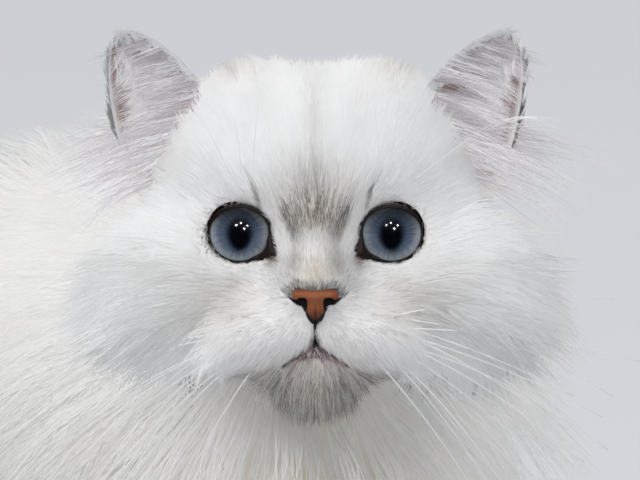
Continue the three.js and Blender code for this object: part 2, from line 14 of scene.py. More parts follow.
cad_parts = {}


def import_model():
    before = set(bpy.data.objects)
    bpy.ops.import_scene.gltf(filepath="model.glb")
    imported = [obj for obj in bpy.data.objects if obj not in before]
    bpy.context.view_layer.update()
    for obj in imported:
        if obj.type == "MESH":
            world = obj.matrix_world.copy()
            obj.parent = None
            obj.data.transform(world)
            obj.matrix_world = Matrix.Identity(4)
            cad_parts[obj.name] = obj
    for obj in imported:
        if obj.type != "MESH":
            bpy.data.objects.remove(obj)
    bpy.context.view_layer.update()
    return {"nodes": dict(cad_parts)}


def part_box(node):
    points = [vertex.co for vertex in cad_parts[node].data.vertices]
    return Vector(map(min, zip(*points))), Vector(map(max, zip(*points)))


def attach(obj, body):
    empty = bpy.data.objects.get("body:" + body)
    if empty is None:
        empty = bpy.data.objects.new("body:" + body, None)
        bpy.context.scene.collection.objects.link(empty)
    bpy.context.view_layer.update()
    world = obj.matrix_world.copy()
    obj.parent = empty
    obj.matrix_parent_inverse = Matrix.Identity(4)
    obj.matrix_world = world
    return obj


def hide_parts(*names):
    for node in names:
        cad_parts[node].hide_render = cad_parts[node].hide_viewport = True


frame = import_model()
METRE = 0.001
FAR = 1e3
SIDES = {1: "left", -1: "right"}
MIDDLE = (1,)

# The head's place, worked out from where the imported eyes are.
HEAD_TURN = math.radians(30)
HEAD_LIFT = math.radians(8)
EYE_PLACE = np.array([-35.0, -215.0, 188.0])
EYE_SPACING = 44.4
GLOBE_RADIUS = 10.6
GLOBE_BACK = 11.0


def turn_z(angle):
    c, s = math.cos(angle), math.sin(angle)
    return np.array([[c, -s, 0], [s, c, 0], [0, 0, 1]])


def turn_x(angle):
    c, s = math.cos(angle), math.sin(angle)
    return np.array([[1, 0, 0], [0, c, -s], [0, s, c]])


HEAD_AXES = turn_z(-HEAD_TURN) @ turn_x(-HEAD_LIFT)
EYE_BOXES = [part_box("eye_left"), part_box("eye_right")]
EYES_MIDDLE = np.mean([corner for box in EYE_BOXES for corner in box], axis=0) / METRE
CENTRING = EYES_MIDDLE - HEAD_AXES @ np.array([0, GLOBE_BACK, 0]) - EYE_PLACE


def from_head(q):
    return q @ HEAD_AXES.T + EYE_PLACE


def to_head(p):
    return (p - EYE_PLACE) @ HEAD_AXES


def placed(p):
    """Body places in millimetres as metres in the shared frame."""
    return (p + CENTRING) * METRE


def mirrored(q, side):
    """Head places on the left kept for side 1 and moved to the right for side -1."""
    return q * np.where(np.arange(3) == 0, side, 1)


def unit(v):
    return v / np.maximum(np.linalg.norm(v, axis=-1, keepdims=True), 1e-9)


def dot(a, b):
    return (a * b).sum(axis=-1, keepdims=True)


def ways(x, y, z):
    """Directions from three numbers or arrays."""
    return np.stack(np.broadcast_arrays(x, y, z), axis=-1)


def ease(low, high, x):
    """0 before low, 1 after high, smooth between. low may be the larger."""
    t = np.clip((x - low) / (high - low), 0, 1)
    return t * t * (3 - 2 * t)


def mix(a, b, t):
    return a + (b - a) * t


def circle(count):
    """Evenly spaced angles of a whole turn."""
    return np.arange(count) * 2 * math.pi / count


# Forms: the same blends of ellipsoids that the solids are made from.
RAY_STEPS = 60
RAY_START = 320.0
RAY_PACE = 0.75
CLOSE_ENOUGH = 0.01
DISH_BLEND = 5


def blob(centre, radii, roll=0):
    return np.array(centre, float), np.array(radii, float), math.radians(roll)


def pair(centre, radii, roll=0):
    x, y, z = centre
    return [blob(centre, radii, roll), blob((-x, y, z), radii, -roll)]


def blob_distance(item, p):
    centre, radii, roll = item
    x, y, z = (p - centre).T
    u = (x * math.cos(roll) + z * math.sin(roll)) / radii[0]
    v = y / radii[1]
    w = (z * math.cos(roll) - x * math.sin(roll)) / radii[2]
    near = np.sqrt(u * u + v * v + w * w)
    slope = np.sqrt((u / radii[0]) ** 2 + (v / radii[1]) ** 2 + (w / radii[2]) ** 2)
    return near * (near - 1) / np.maximum(slope, 1e-6)


def smooth_min(a, b, blend):
    h = np.maximum(blend - np.abs(a - b), 0) / blend
    return np.minimum(a, b) - h * h * blend / 4


class Form:
    """A smooth blend of ellipsoids with dishes pressed into it, seen as rays from its middle."""

    def __init__(self, middle, blobs, crisp=(), dishes=(), blend=20, crisp_blend=3):
        self.middle = np.array(middle, float)
        self.blended = [(item, blend) for item in blobs] + [(item, crisp_blend) for item in crisp]
        self.dishes = dishes

    def distance(self, p):
        d = np.full(len(p), FAR)
        for item, blend in self.blended:
            d = smooth_min(d, blob_distance(item, p), blend)
        for item in self.dishes:
            d = -smooth_min(-d, blob_distance(item, p), DISH_BLEND)
        return d

    def along(self, rays, depth):
        """The outermost points that lie depth(point) under the form, along rays from its middle."""
        reach = np.full(len(rays), RAY_START)
        for _ in range(RAY_STEPS):
            p = self.middle + rays * reach[:, None]
            over = self.distance(p) + depth(p)
            if np.max(over) < CLOSE_ENOUGH:
                break
            reach = np.maximum(reach - RAY_PACE * np.maximum(over, 0), 1)
        return self.middle + rays * reach[:, None]


HEAD = Form(
    middle=(0, 22, -12),
    blobs=[
        blob((0, 43, 10), (51, 44, 43)),
        *pair((19, 38, 33), (19, 25, 19)),
        *pair((33, 27, -14), (24, 28, 26)),
        blob((0, 28, -30), (32, 30, 18)),
        blob((0, 2, -9), (11, 15, 13)),
        blob((0, 12, -27), (27, 14, 14)),
        *pair((38, 52, 26), (15, 13, 14)),
    ],
    crisp=[
        blob((0, -3, -17), (10, 10, 7)),
        *pair((13.5, 1, -30.5), (19, 13.5, 10.5), -12),
        blob((0, 3, -43), (12.5, 11.5, 8.5)),
    ],
    dishes=pair((EYE_SPACING / 2, -14, 0), (17, 20, 16)),
    blend=9,
    crisp_blend=8,
)
NOSE = Form(
    (0, -9, -19),
    [
        blob((0, -9.5, -18.0), (5.0, 6, 2.8)),
        *pair((4.1, -9, -17.7), (2.8, 4.8, 2.5)),
        blob((0, -9.5, -21.2), (2.8, 5.0, 3.8)),
        blob((0, -9.2, -23.5), (1.3, 4.2, 2.1)),
    ],
    blend=2,
)
NECK = Form((-2, -118, 134), [blob((0, -100, 126), (46, 48, 42)), blob((-5, -138, 140), (38, 34, 38))])
CHEST = Form((0, -110, 82), [blob((0, -104, 80), (54, 52, 62)), blob((-4, -122, 108), (46, 38, 38))])
TORSO = Form(
    (0, 45, 88),
    [
        blob((0, -30, 92), (58, 95, 76)),
        blob((0, -62, 130), (38, 50, 44)),
        blob((0, 60, 92), (56, 92, 78)),
        blob((0, 128, 84), (62, 72, 70)),
    ],
)
TOES = (-1.5, -0.5, 0.5, 1.5)


def thigh(side):
    knee = blob((side * 68, 58, 34), (20, 38, 30))
    return Form((side * 60, 95, 55), [blob((side * 58, 112, 62), (34, 62, 56)), knee], blend=16)


def hind_foot(side):
    toes = [blob((side * 79 + 8 * i, -9 + 1.6 * i * i, 9), (5.5, 8, 8)) for i in TOES]
    bones = [blob((side * 81, 66, 14), (15, 52, 16)), blob((side * 79, 14, 13), (17, 24, 15))]
    return Form((side * 80, 42, 12), bones, toes, blend=8, crisp_blend=2.5)


def foreleg(side):
    elbow = blob((side * 54, -84, 36), (22, 34, 36))
    arm = blob((side * 45, -130, 24), (19, 50, 23))
    wrist = blob((side * 38, -178, 17), (16, 28, 18))
    return Form((side * 45, -125, 24), [elbow, arm, wrist], blend=12)


def fore_paw(side):
    toes = [blob((side * 34 + 8.6 * i, -233 + 1.8 * i * i, 9.5), (6, 9, 9)) for i in TOES]
    palm = [blob((side * 34, -210, 15), (19, 26, 16))]
    return Form((side * 34, -214, 12), palm, toes, blend=6, crisp_blend=2.5)


# Meshes from arrays.
UNWRAP_EDGES = (0.01, 0.99)
SKIN_ABOVE_FLOOR = 0.8


def add_object(name, data):
    made = bpy.data.objects.new(name, data)
    bpy.context.scene.collection.objects.link(made)
    return made


def mesh_object(name, points, faces):
    """A smooth-shaded object from points in metres and a list of face arrays, each (count, corners)."""
    mesh = bpy.data.meshes.new(name)
    mesh.vertices.add(len(points))
    mesh.vertices.foreach_set("co", np.ascontiguousarray(points, np.float32).ravel())
    corners = np.concatenate([f.ravel() for f in faces]).astype(np.int32)
    sizes = np.concatenate([np.full(len(f), f.shape[1]) for f in faces])
    starts = np.concatenate([[0], np.cumsum(sizes)[:-1]]).astype(np.int32)
    mesh.loops.add(len(corners))
    mesh.loops.foreach_set("vertex_index", corners)
    mesh.polygons.add(len(sizes))
    mesh.polygons.foreach_set("loop_start", starts)
    mesh.polygons.foreach_set("use_smooth", np.ones(len(sizes), bool))
    mesh.update(calc_edges=True)
    return add_object(name, mesh)


def set_colours(made, colours):
    """A colour for each point, or one for all."""
    layer = made.data.color_attributes.new("Tint", "FLOAT_COLOR", "POINT")
    full = np.ones((len(made.data.vertices), 4), np.float32)
    full[:, :3] = colours
    layer.data.foreach_set("color", full.ravel())


def set_unwrap(made, places):
    """Where each corner of each face falls on the OFBake unwrap."""
    layer = made.data.uv_layers.new(name="OFBake")
    layer.data.foreach_set("uv", places.astype(np.float32).ravel())


def dress(made, material):
    made.data.materials.append(material)
    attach(made, "root")


def lets_light_through(made):
    made.visible_shadow = False
    made.visible_diffuse = False


def ring_quads(count, around, start=0):
    """The quads between closed rings of points, numbered from start."""
    k = np.arange(around)
    after = (k + 1) % around
    rows = start + np.arange(count - 1)[:, None] * around
    further = rows + around
    return np.stack([rows + k, further + k, further + after, rows + after], axis=-1).reshape(-1, 4)


def fan(tip, start, around):
    """The triangles between one point and a closed ring of points."""
    k = np.arange(around)
    return np.stack([np.full(around, tip), start + k, start + (k + 1) % around], axis=1)


def grid_quads(rows, columns):
    """The quads of an open grid of points."""
    k = np.arange(rows * columns).reshape(rows, columns)
    return np.stack([k[:-1, :-1], k[:-1, 1:], k[1:, 1:], k[1:, :-1]], axis=-1).reshape(-1, 4)


def ball_grid(around, rings, crowd=1.0, tilt=0.0):
    """Directions of a ball with its first pole along -Y, rings crowded toward it, and the ball's faces."""
    share = (np.arange(1, rings) / rings) ** crowd
    polar, turn = np.meshgrid(share * math.pi, circle(around), indexing="ij")
    middle = ways(np.sin(polar) * np.cos(turn), -np.cos(polar), np.sin(polar) * np.sin(turn))
    rays = np.vstack([[[0, -1, 0]], middle.reshape(-1, 3), [[0, 1, 0]]]) @ turn_x(tilt).T
    last = fan(len(rays) - 1, 1 + (rings - 2) * around, around)[:, [1, 0, 2]]
    return rays, [fan(0, 1, around), ring_quads(rings - 1, around, 1), last]


def rings_round(path, radius, side, over, turn):
    """A ring of points round each point of a path."""
    across, up = np.cos(turn)[None, :, None], np.sin(turn)[None, :, None]
    return path[:, None] + radius[:, None, None] * (across * side[:, None] + up * over[:, None])


def looks_out(points, faces, facing):
    """Whether a closed surface's faces look out, or an open one's look the way that facing does."""
    a, b, c = (points[np.concatenate([f[:, i] for f in faces])] for i in range(3))
    cross = np.cross(b - a, c - a)
    if facing is None:
        return dot(a - points.mean(axis=0), cross).sum() > 0
    return (cross @ facing).sum() > 0


class Surface:
    """A part of the skin, with what is needed to root tufts on it."""

    def __init__(self, points, faces, middle, facing=None):
        if not looks_out(points, faces, facing):
            faces = [f[:, ::-1] for f in faces]
        self.points, self.faces, self.middle = points, faces, middle
        fans = [f[:, [0, i, i + 1]] for f in faces for i in range(1, f.shape[1] - 1)]
        self.triangles = np.concatenate(fans)
        a, b, c = (points[self.triangles[:, i]] for i in range(3))
        cross = np.cross(b - a, c - a)
        self.areas = np.linalg.norm(cross, axis=1) / 2
        normals = np.zeros_like(points)
        for i in range(3):
            np.add.at(normals, self.triangles[:, i], cross)
        self.normals = unit(normals)
        self.centres = (a + b + c) / 3
        self.flattened = None

    def scatter(self, count, weight, random):
        share = np.cumsum(self.areas * weight(self.centres))
        draws = (np.arange(count) + random.random(count)) / count * share[-1]
        picked = self.triangles[np.searchsorted(share, draws)]
        r, s = np.sqrt(random.random(count)), random.random(count)
        parts = np.stack([1 - r, r * (1 - s), r * s], axis=1)
        root = np.einsum("nk,nkj->nj", parts, self.points[picked])
        return root, unit(np.einsum("nk,nkj->nj", parts, self.normals[picked]))

    def unwrapped(self, p):
        """Where each place falls on this surface's unwrap: its own, or its direction from the middle."""
        if self.flattened is not None:
            return mix(*UNWRAP_EDGES, np.clip(self.flattened(p), 0, 1))
        x, y, z = unit(p - self.middle).T
        across = np.arctan2(x, -y) / (2 * math.pi) + 0.5
        up = np.arccos(np.clip(z, -1, 1)) / math.pi
        return mix(*UNWRAP_EDGES, np.stack([across, up], axis=1))


def form_surface(form, around, rings, depth=0.0):
    rays, faces = ball_grid(around, rings)
    points = form.along(rays, lambda p: np.full(len(p), depth))
    points[:, 2] = np.maximum(points[:, 2], SKIN_ABOVE_FLOOR)
    return Surface(points, faces, form.middle)


def loft(rings, middle):
    """A closed surface through rings of points, all of one size."""
    count, around = rings.shape[:2]
    ends = count * around
    points = np.vstack([rings.reshape(-1, 3), rings[0].mean(axis=0), rings[-1].mean(axis=0)])
    first = fan(ends, 0, around)[:, [0, 2, 1]]
    last = fan(ends + 1, ends - around, around)
    return Surface(points, [first, ring_quads(count, around)[:, [0, 3, 2, 1]], last], middle)


# The face's measures and lines. A line is a row of (x, z) head places on the left, seen from the front,
# and stands for its mirror image too. Its halves are its half widths there.
NOSE_TILT = math.atan2(8, 37)
FACE_DEPTH = 30
OPENING_WIDE = 8.95
OPENING_ABOVE = 7.6
OPENING_BELOW = 8.2
TEAR_REACH = 3.1
TEAR_CORNER = math.radians(180 + 33)
MOUTH_LINE = ((0, -31.2), (3.2, -33.4), (6.4, -35.6), (9.4, -38.0))
CREASE_HALF = (0.3, 0.3, 0.45, 0.5)
PARTING_HALF = (0.5, 0.5, 0.5, 0.5)
LIP_LINE = ((0, -33.6), (3.6, -35.0), (9.0, -38.2))
LIP_HALF = (2.3, 1.6, 0.3)
LIP_MIDDLE = ((0, -28.5), (0, -32))
LIP_MIDDLE_HALF = (0.8, 2.0)
# Painted shade along and below the middle of the mouth.
LIP_SHADE = ((0, -31.0), (0, -33.5), (5, -35.8))
LIP_SHADE_HALF = (1.2, 1.6, 0.4)
PHILTRUM = ((0, -25.2), (0, -28.0), (0, -32.2))
PHILTRUM_HALF = (0.8, 0.36, 0.7)
WING_LINE = ((4.7, -20.1), (6.7, -18.9), (8.2, -17.8), (9.4, -16.8))
WING_HALF = (0.55, 0.38, 0.26, 0.1)
COLUMN_LINE = ((3.0, -21.6), (2.5, -22.9), (1.3, -24.4), (0, -25.6))
COLUMN_HALF = (0.35, 0.3, 0.4, 0.6)
NOSTRIL_LINE = ((3.0, -22.0), (3.05, -20.8), (3.4, -19.5), (4.3, -19.3), (5.3, -19.5))
NOSTRIL_HALF = (0.3, 0.75, 1.15, 0.95, 0.55)
# Each groove's line, width and depth.
GROOVES = ((MOUTH_LINE, 0.9, 1.8), (PHILTRUM, 0.8, 1.3), (WING_LINE, 0.6, 0.9))


def at_tear_corner(around, width):
    return np.exp(-((((around % (2 * math.pi)) - TEAR_CORNER) / width) ** 2))


def opening_radius(around):
    high = mix(OPENING_BELOW, OPENING_ABOVE, ease(-0.4, 0.4, np.sin(around)))
    oval = 1 / np.hypot(np.cos(around) / OPENING_WIDE, np.sin(around) / high)
    return oval + TEAR_REACH * at_tear_corner(around, 0.28)


def eye_space(q):
    """How far outside its side's eye opening a head place is, seen from the front."""
    x = np.abs(q[:, 0]) - EYE_SPACING / 2
    return np.hypot(x, q[:, 2]) - opening_radius(np.arctan2(q[:, 2], x)) + FAR * (q[:, 1] > FACE_DEPTH)


def stretches(p, line):
    """For each stretch of a line: how far along it each place is, 0 to 1, and how far off it."""
    for a, b in zip(np.array(line[:-1], float), np.array(line[1:], float)):
        t = np.clip((p - a) @ (b - a) / ((b - a) @ (b - a)), 0, 1)
        yield t, np.linalg.norm(p - a - t[:, None] * (b - a), axis=1)


def on_left(q):
    return np.stack([np.abs(q[:, 0]), q[:, 2]], axis=1)


def line_space(q, line):
    """Distance seen from the front to a line and its mirror image."""
    nearest = np.min([away for _, away in stretches(on_left(q), line)], axis=0)
    return nearest + FAR * (q[:, 1] > FACE_DEPTH)


def stroke(q, line, halves, soft=0.15):
    """1 on a line and its mirror image, seen from the front, by its half width along it."""
    inside = np.full(len(q), -FAR)
    for (t, away), start, end in zip(stretches(on_left(q), line), halves[:-1], halves[1:]):
        inside = np.maximum(inside, mix(start, end, t) - away)
    return ease(-soft, soft, inside) * (q[:, 1] < FACE_DEPTH)


# The head's skin.
def from_nose(q):
    return np.hypot(q[:, 0], q[:, 2] + 16)


def cheekness(q):
    return ease(24, 46, np.abs(q[:, 0])) * ease(18, -12, q[:, 2])


def coat_depth(q):
    """How thick the coat lies on the head."""
    return 0.5 + 1.6 * ease(20, 52, from_nose(q)) + 3.5 * ease(20, 70, q[:, 1]) + 4 * cheekness(q)


def head_points(rays):
    q = HEAD.along(rays, coat_depth)
    hollow = 9 * ease(1.2, -0.6, eye_space(q))
    pressed = sum(deep * np.exp(-((line_space(q, line) / wide) ** 2)) for line, wide, deep in GROOVES)
    q[:, 1] += np.where(q[:, 1] < 25, hollow + pressed, 0)
    return q


def face_y(x, z):
    """Where lines along Y first meet the head's skin."""
    q = ways(x, -40.0, z)
    for _ in range(RAY_STEPS):
        q[:, 1] += 0.7 * np.maximum(HEAD.distance(q) + coat_depth(q), 0)
    return q[:, 1]


# Markings, with painted shade on the chin and the muzzle's pads. A streak's row is its share, its sides,
# the x and z of its start and end, and its width. A patch's row is its share, its sides, its x and z, and its
# width and height.
GREY_STREAKS = (
    (0.10, MIDDLE, -0.7, 12, -0.4, 36, 1.6),
    (0.10, MIDDLE, -0.7, 8, -0.5, 46, 5.0),
    (0.06, MIDDLE, -9, 15, -15, 46, 3.5),
    (0.06, MIDDLE, 9, 15, 14, 46, 3.5),
    (0.75, MIDDLE, -16.2, 7.2, -17.4, 12.5, 0.7),
    (0.7, MIDDLE, 14.6, 7.2, 15.6, 12.5, 0.7),
    (0.7, MIDDLE, -4.5, -15.3, 4.5, -15.3, 0.5),
    (0.55, SIDES, 6.2, -1.5, 9.0, 4.5, 2.0),
    (-0.9, SIDES, 12.8, 6.5, 8.6, -4.5, 1.5),
    (0.19, SIDES, 19, -15, 44, -9, 4.5),
    (0.22, SIDES, 24, -21, 46, -26, 5),
    (0.06, SIDES, 27, 12, 42, 20, 6),
    (1.3, SIDES, 7.6, -17.4, 4.6, -15.3, 0.8),
)
GREY_PATCHES = (
    (0.86, MIDDLE, 0, 3.5, 8.0, 5.5),
    (0.26, MIDDLE, 0, 12, 8, 8),
    (0.45, SIDES, 6.3, -8.5, 2.6, 4.5),
    (0.22, SIDES, 9, -14, 4, 5),
    (0.30, SIDES, 23, 46, 7, 4.5),
    (0.35, SIDES, 49, 21, 7, 6),
)
BEIGE_PATCHES = (
    (0.7, MIDDLE, 0.5, -11.5, 5, 4.5),
    (0.45, MIDDLE, 0, 5, 10, 7),
    (0.35, SIDES, 49, 21, 8, 7),
    (0.22, SIDES, 23, 45, 9, 6),
    (0.18, SIDES, 25, -20, 9, 6),
    (0.25, SIDES, 6, -42, 12, 8),
)
TEAR_STAINS = ((0.9, SIDES, 12.3, -7.8, 1.6, 2.4),)
# Where the muzzle's pads get painted shade.
PADS = ((1, SIDES, 13, -29, 11, 7),)
BIB_STAIN = ((1, MIDDLE, 1, -62, 26, 16),)
NOSE_TOP = ((1, MIDDLE, 0, -14, 5, 4),)
WHISKER_SPOTS = tuple(
    (1, SIDES, x, z, 0.55, 0.55)
    for x, z in ((15.5, -23.0), (18.4, -23.4), (21.6, -23.9), (17.2, -26.6), (20.4, -27.4), (23.4, -28))
)


def streaks(q, rows):
    total = np.zeros(len(q))
    for share, sides, start_x, start_z, end_x, end_z, width in rows:
        for side in sides:
            line = ((side * start_x, start_z), (side * end_x, end_z))
            _, away = next(stretches(q[:, [0, 2]], line))
            total += share * np.exp(-((away / width) ** 2)) * (q[:, 1] < 48)
    return total


def patches(q, rows):
    total = np.zeros(len(q))
    for share, sides, x, z, wide, high in rows:
        for side in sides:
            off = ((q[:, 0] - side * x) / wide) ** 2 + ((q[:, 2] - z) / high) ** 2
            total += share * np.exp(-off) * (q[:, 1] < 60)
    return total


def head_grey_and_shade(q):
    # The chin is painted greyer for the shade that falls under the muzzle.
    chin = ease(-34, -40, q[:, 2]) * ease(26, 12, np.abs(q[:, 0]))
    return np.clip(streaks(q, GREY_STREAKS) + patches(q, GREY_PATCHES) + 0.7 * chin, 0, 1)


def head_beige(q):
    return np.clip(patches(q, BEIGE_PATCHES), 0, 1)


def head_brown(q):
    """The tear stain below each eye's inner corner."""
    return np.clip(patches(q, TEAR_STAINS), 0, 1)


def lip_share(q):
    """1 on the lips, which show through short hair below the muzzle's pads."""
    middle = 0.6 * stroke(q, LIP_MIDDLE, LIP_MIDDLE_HALF, 0.8)
    return np.maximum(stroke(q, LIP_LINE, LIP_HALF, 1.0), middle)


def srgb(red, green, blue):
    """A colour as it looks on a screen, 0 to 255, in linear light."""
    c = np.array([red, green, blue]) / 255
    return np.where(c <= 0.04045, c / 12.92, ((c + 0.055) / 1.055) ** 2.4)


# Colours.
COAT_WHITE = srgb(241, 240, 239)
COAT_GREY = srgb(104, 98, 92)
COAT_BEIGE = srgb(214, 198, 164)
COAT_BROWN = srgb(98, 62, 48)
SKIN_PINK = srgb(226, 205, 198)
LIP_PURPLE = srgb(112, 84, 88)
LIP_SHADOW_DARK = srgb(58, 38, 42)
RIM_BLACK = srgb(22, 14, 13)
RIM_BROWN = srgb(56, 32, 26)
EAR_PINK = srgb(158, 130, 126)
NOSE_TOP_GREY = srgb(78, 74, 74)
LEATHER_ORANGE = srgb(152, 88, 56)
LEATHER_LOW = srgb(80, 42, 38)
LEATHER_TOP_SHADE = srgb(96, 52, 38)
LEATHER_GROOVE_SHADE = srgb(60, 32, 26)
NOSTRIL_BLACK = srgb(16, 10, 9)
IRIS_OUTER = srgb(144, 151, 158)
IRIS_MIDDLE = srgb(90, 102, 122)
IRIS_INNER = srgb(38, 47, 64)
IRIS_EDGE = srgb(60, 70, 76)
PUPIL_BLACK = srgb(6, 8, 13)
PAD_SHADE_PURPLE = srgb(150, 140, 148)
FRINGE_GREY = srgb(66, 66, 70)
EAR_WHITE = srgb(250, 250, 250)
FURNISHING_SHADE = srgb(170, 157, 162)
FURNISHING_WHITE = srgb(252, 249, 254)
FURNISHING_TIP = srgb(255, 253, 255)
WHISKER_WHITE = srgb(255, 255, 255)
FLOOR_TINTS = ((0.64, 0.65, 0.67, 1), (0.66, 0.67, 0.69, 1))
WORLD_TINT = (0.93, 0.96, 1.0, 1)


def tinted(base, tints):
    """A colour for each place, mixed toward each tint by its share."""
    colour = np.repeat(base[None], len(tints[0][1]), axis=0)
    for tint, share in tints:
        colour = mix(colour, tint, share[:, None])
    return colour


def head_skin_colour(q):
    """White under the markings, with dark lines at the eyes' rims, the nose and the mouth, and painted shade
    in the nostrils and below the mouth.
    """
    above_nose = ease(1.5, 0.5, NOSE.distance(q)) * ease(-18.5, -17, q[:, 2])
    lines = [
        stroke(q, WING_LINE, WING_HALF),
        stroke(q, PHILTRUM, PHILTRUM_HALF, 0.25),
        # painted shade in the nostrils
        stroke(q, NOSTRIL_LINE, NOSTRIL_HALF, 0.25),
        0.8 * stroke(q, MOUTH_LINE, CREASE_HALF, 0.3) * ease(1, 6, np.abs(q[:, 0])),
    ]
    rim = ease(0.9, 0.5, eye_space(q))
    # The skin under the nose leather is painted black for the shade seen through the nostrils.
    under = ease(0.5, 0.2, NOSE.distance(q)) * ease(-18.5, -20, q[:, 2])
    return tinted(
        mix(COAT_WHITE, SKIN_PINK, 0.12),
        [
            (COAT_GREY, 0.8 * head_grey_and_shade(q)),
            (COAT_BEIGE, 0.8 * head_beige(q)),
            (COAT_BROWN, head_brown(q)),
            (NOSE_TOP_GREY, 0.85 * above_nose),
            (LIP_PURPLE, 0.9 * lip_share(q)),
            (LIP_SHADOW_DARK, 0.7 * stroke(q, LIP_SHADE, LIP_SHADE_HALF, 1.0)),
            (RIM_BLACK, np.clip(rim + np.max(lines, axis=0) + under, 0, 1)),
        ],
    )


# Tufts.
DOWN = np.array([0, 0, -1.0])
# How tufts fall where their lie would point straight out of the skin or into it.
FALL = np.array([0, 0.5, -0.85])
FORWARD = -HEAD_AXES[:, 1]
# The size of a strand's patch on the unwrap.
PATCH = 0.003
PIECE_TRIANGLES = 190000
HEIGHT_RANGE = (0.75, 1.3)
WIDTH_RANGE = (0.7, 1.25)
STRANDS_ABOVE_FLOOR = (0.7, 2.2)
LEAST_LEVEL = 0.75


class Style:
    """How a coat grows. Lie, colour and tip are functions of places; the measures may also be numbers.

    A tuft has a number of members, each a strand with some steps, rooted within spread and closing in by
    pinch. droop, stray and wave bend it, ragged varies its length, and sink buries its root. flat is a
    strand's thickness for its width. The shading turns to the strand's own way by turned and own_shade,
    and toward facing.
    """

    def __init__(self, lie, length, height, width, colour, **more):
        self.lie, self.length, self.height, self.width, self.colour = lie, length, height, width, colour
        self.steps, self.members, self.spread, self.pinch = 2, 8, 3.0, 0.7
        self.droop, self.stray, self.wave, self.sink, self.flat = 0.1, 0.12, 0.03, 1.0, 0.3
        self.ragged, self.own_shade, self.turned = 0.25, 0.3, 0.6
        self.facing = np.zeros(3)
        self.tip = None
        for name, value in more.items():
            setattr(self, name, value)


def value_at(rule, p):
    return rule(p) if callable(rule) else np.full(len(p), float(rule))


def grow(surface, count, style, seed, weight):
    """Tufts on a surface, each a bundle of tapered strands that close in on one another to their tips."""
    random = np.random.default_rng(seed)
    bundles = max(1, count // style.members)
    root, normal = surface.scatter(bundles, weight, random)
    lie = unit(style.lie(root, normal))
    level = np.linalg.norm(lie - normal * dot(lie, normal), axis=1)
    lie = lie + style.stray * random.normal(size=root.shape) + 0.8 * ease(0.5, 0.1, level)[:, None] * FALL
    along = unit(lie - normal * dot(lie, normal))
    across = np.cross(normal, along)
    length = value_at(style.length, root)
    length = length * random.uniform(1 - style.ragged, 1 + style.ragged * 0.6, bundles)
    height = value_at(style.height, root) * random.uniform(*HEIGHT_RANGE, bundles)
    height = np.minimum(height, 0.9 * length)
    run = np.sqrt(length**2 - height**2)
    # From here on each strand has its own row: own is the tuft that it belongs to.
    own = np.repeat(np.arange(bundles), style.members)
    n = len(own)
    reach = random.uniform(1 - style.ragged, 1, n)
    t = np.linspace(0, 1, style.steps + 1)[None] * reach[:, None]
    angle = random.uniform(0, 2 * math.pi, n)
    away = style.spread * np.sqrt(random.random(n))
    offset = along[own] * (away * np.cos(angle))[:, None] + across[own] * (away * np.sin(angle))[:, None]
    long = length[own][:, None]
    phase = random.uniform(0, 2 * math.pi, n)[:, None]
    swing = style.wave * long * (np.sin(phase + 5 * t) - np.sin(phase))
    sideways = random.normal(size=n)[:, None] * 0.05 * long * t
    path = (
        root[own][:, None]
        - style.sink * normal[own][:, None]
        + along[own][:, None] * (run[own][:, None] * t)[..., None]
        + normal[own][:, None] * (height[own][:, None] * (1 - (1 - t) ** 2))[..., None]
        + DOWN * (style.droop * long * t**2)[..., None]
        + offset[:, None] * (1 - style.pinch * t**1.5)[..., None]
        + across[own][:, None] * (swing + sideways)[..., None]
    )
    path[..., 2] = np.maximum(path[..., 2], random.uniform(*STRANDS_ABOVE_FLOOR, n)[:, None])
    # A strand's section is a low triangle, with its ridge away from the skin.
    tangent = unit(np.gradient(path, axis=1))
    side = -across[own][:, None]
    side = unit(side - tangent * dot(tangent, side))
    over = np.cross(side, tangent)
    shares = np.linspace(0, 1, style.steps + 1)[:-1]
    width = value_at(style.width, root)[own] * random.uniform(*WIDTH_RANGE, n) / 2
    half = (width[:, None] * (1 - shares**2.2)[None])[..., None, None]
    corner = np.array([-0.9, 0.9, 0.0])[:, None] * side[:, :-1, None]
    ridge = np.array([-0.5, -0.5, 1.0])[:, None] * style.flat * over[:, :-1, None]
    rings = path[:, :-1, None] + half * (corner + ridge)
    points = np.concatenate([rings.reshape(n, -1, 3), path[:, -1:]], axis=1)
    # Shading follows the form, but stays near the strand's own way, because a strand turned far from
    # its shading goes black.
    own_normals = unit(corner + ridge)
    own_normals = np.concatenate([own_normals.reshape(n, -1, 3), over[:, -1:]], axis=1)
    up = np.concatenate([np.repeat(over[:, :-1], 3, axis=1), over[:, -1:]], axis=1)
    form_normal = unit(mix(normal[own][:, None], up, style.turned) + style.facing)
    form_normal = unit(form_normal + 2.2 * np.maximum(0, LEAST_LEVEL - dot(form_normal, up)) * up)
    speckle = 0.05 * random.normal(size=(n, 1, 3))
    upper = unit(form_normal + style.own_shade * own_normals + speckle)
    under = unit(0.4 * own_normals - up + 0.8 * style.facing)
    place = root[own] + offset
    base = style.colour(place, random)
    tip = base if style.tip is None else style.tip(place, base, random)
    share = np.append(np.repeat(shares, 3), 1)[None, :, None]
    colours = mix(base[:, None], tip[:, None], share**1.5)
    strip = np.append(np.tile([-0.5, 0.5, 0], style.steps), 0)
    rise = share[0, :, 0] - 0.5
    uv = surface.unwrapped(place)[:, None] + PATCH * np.stack([strip, rise], axis=1)[None]
    return points, colours, uv, upper, under


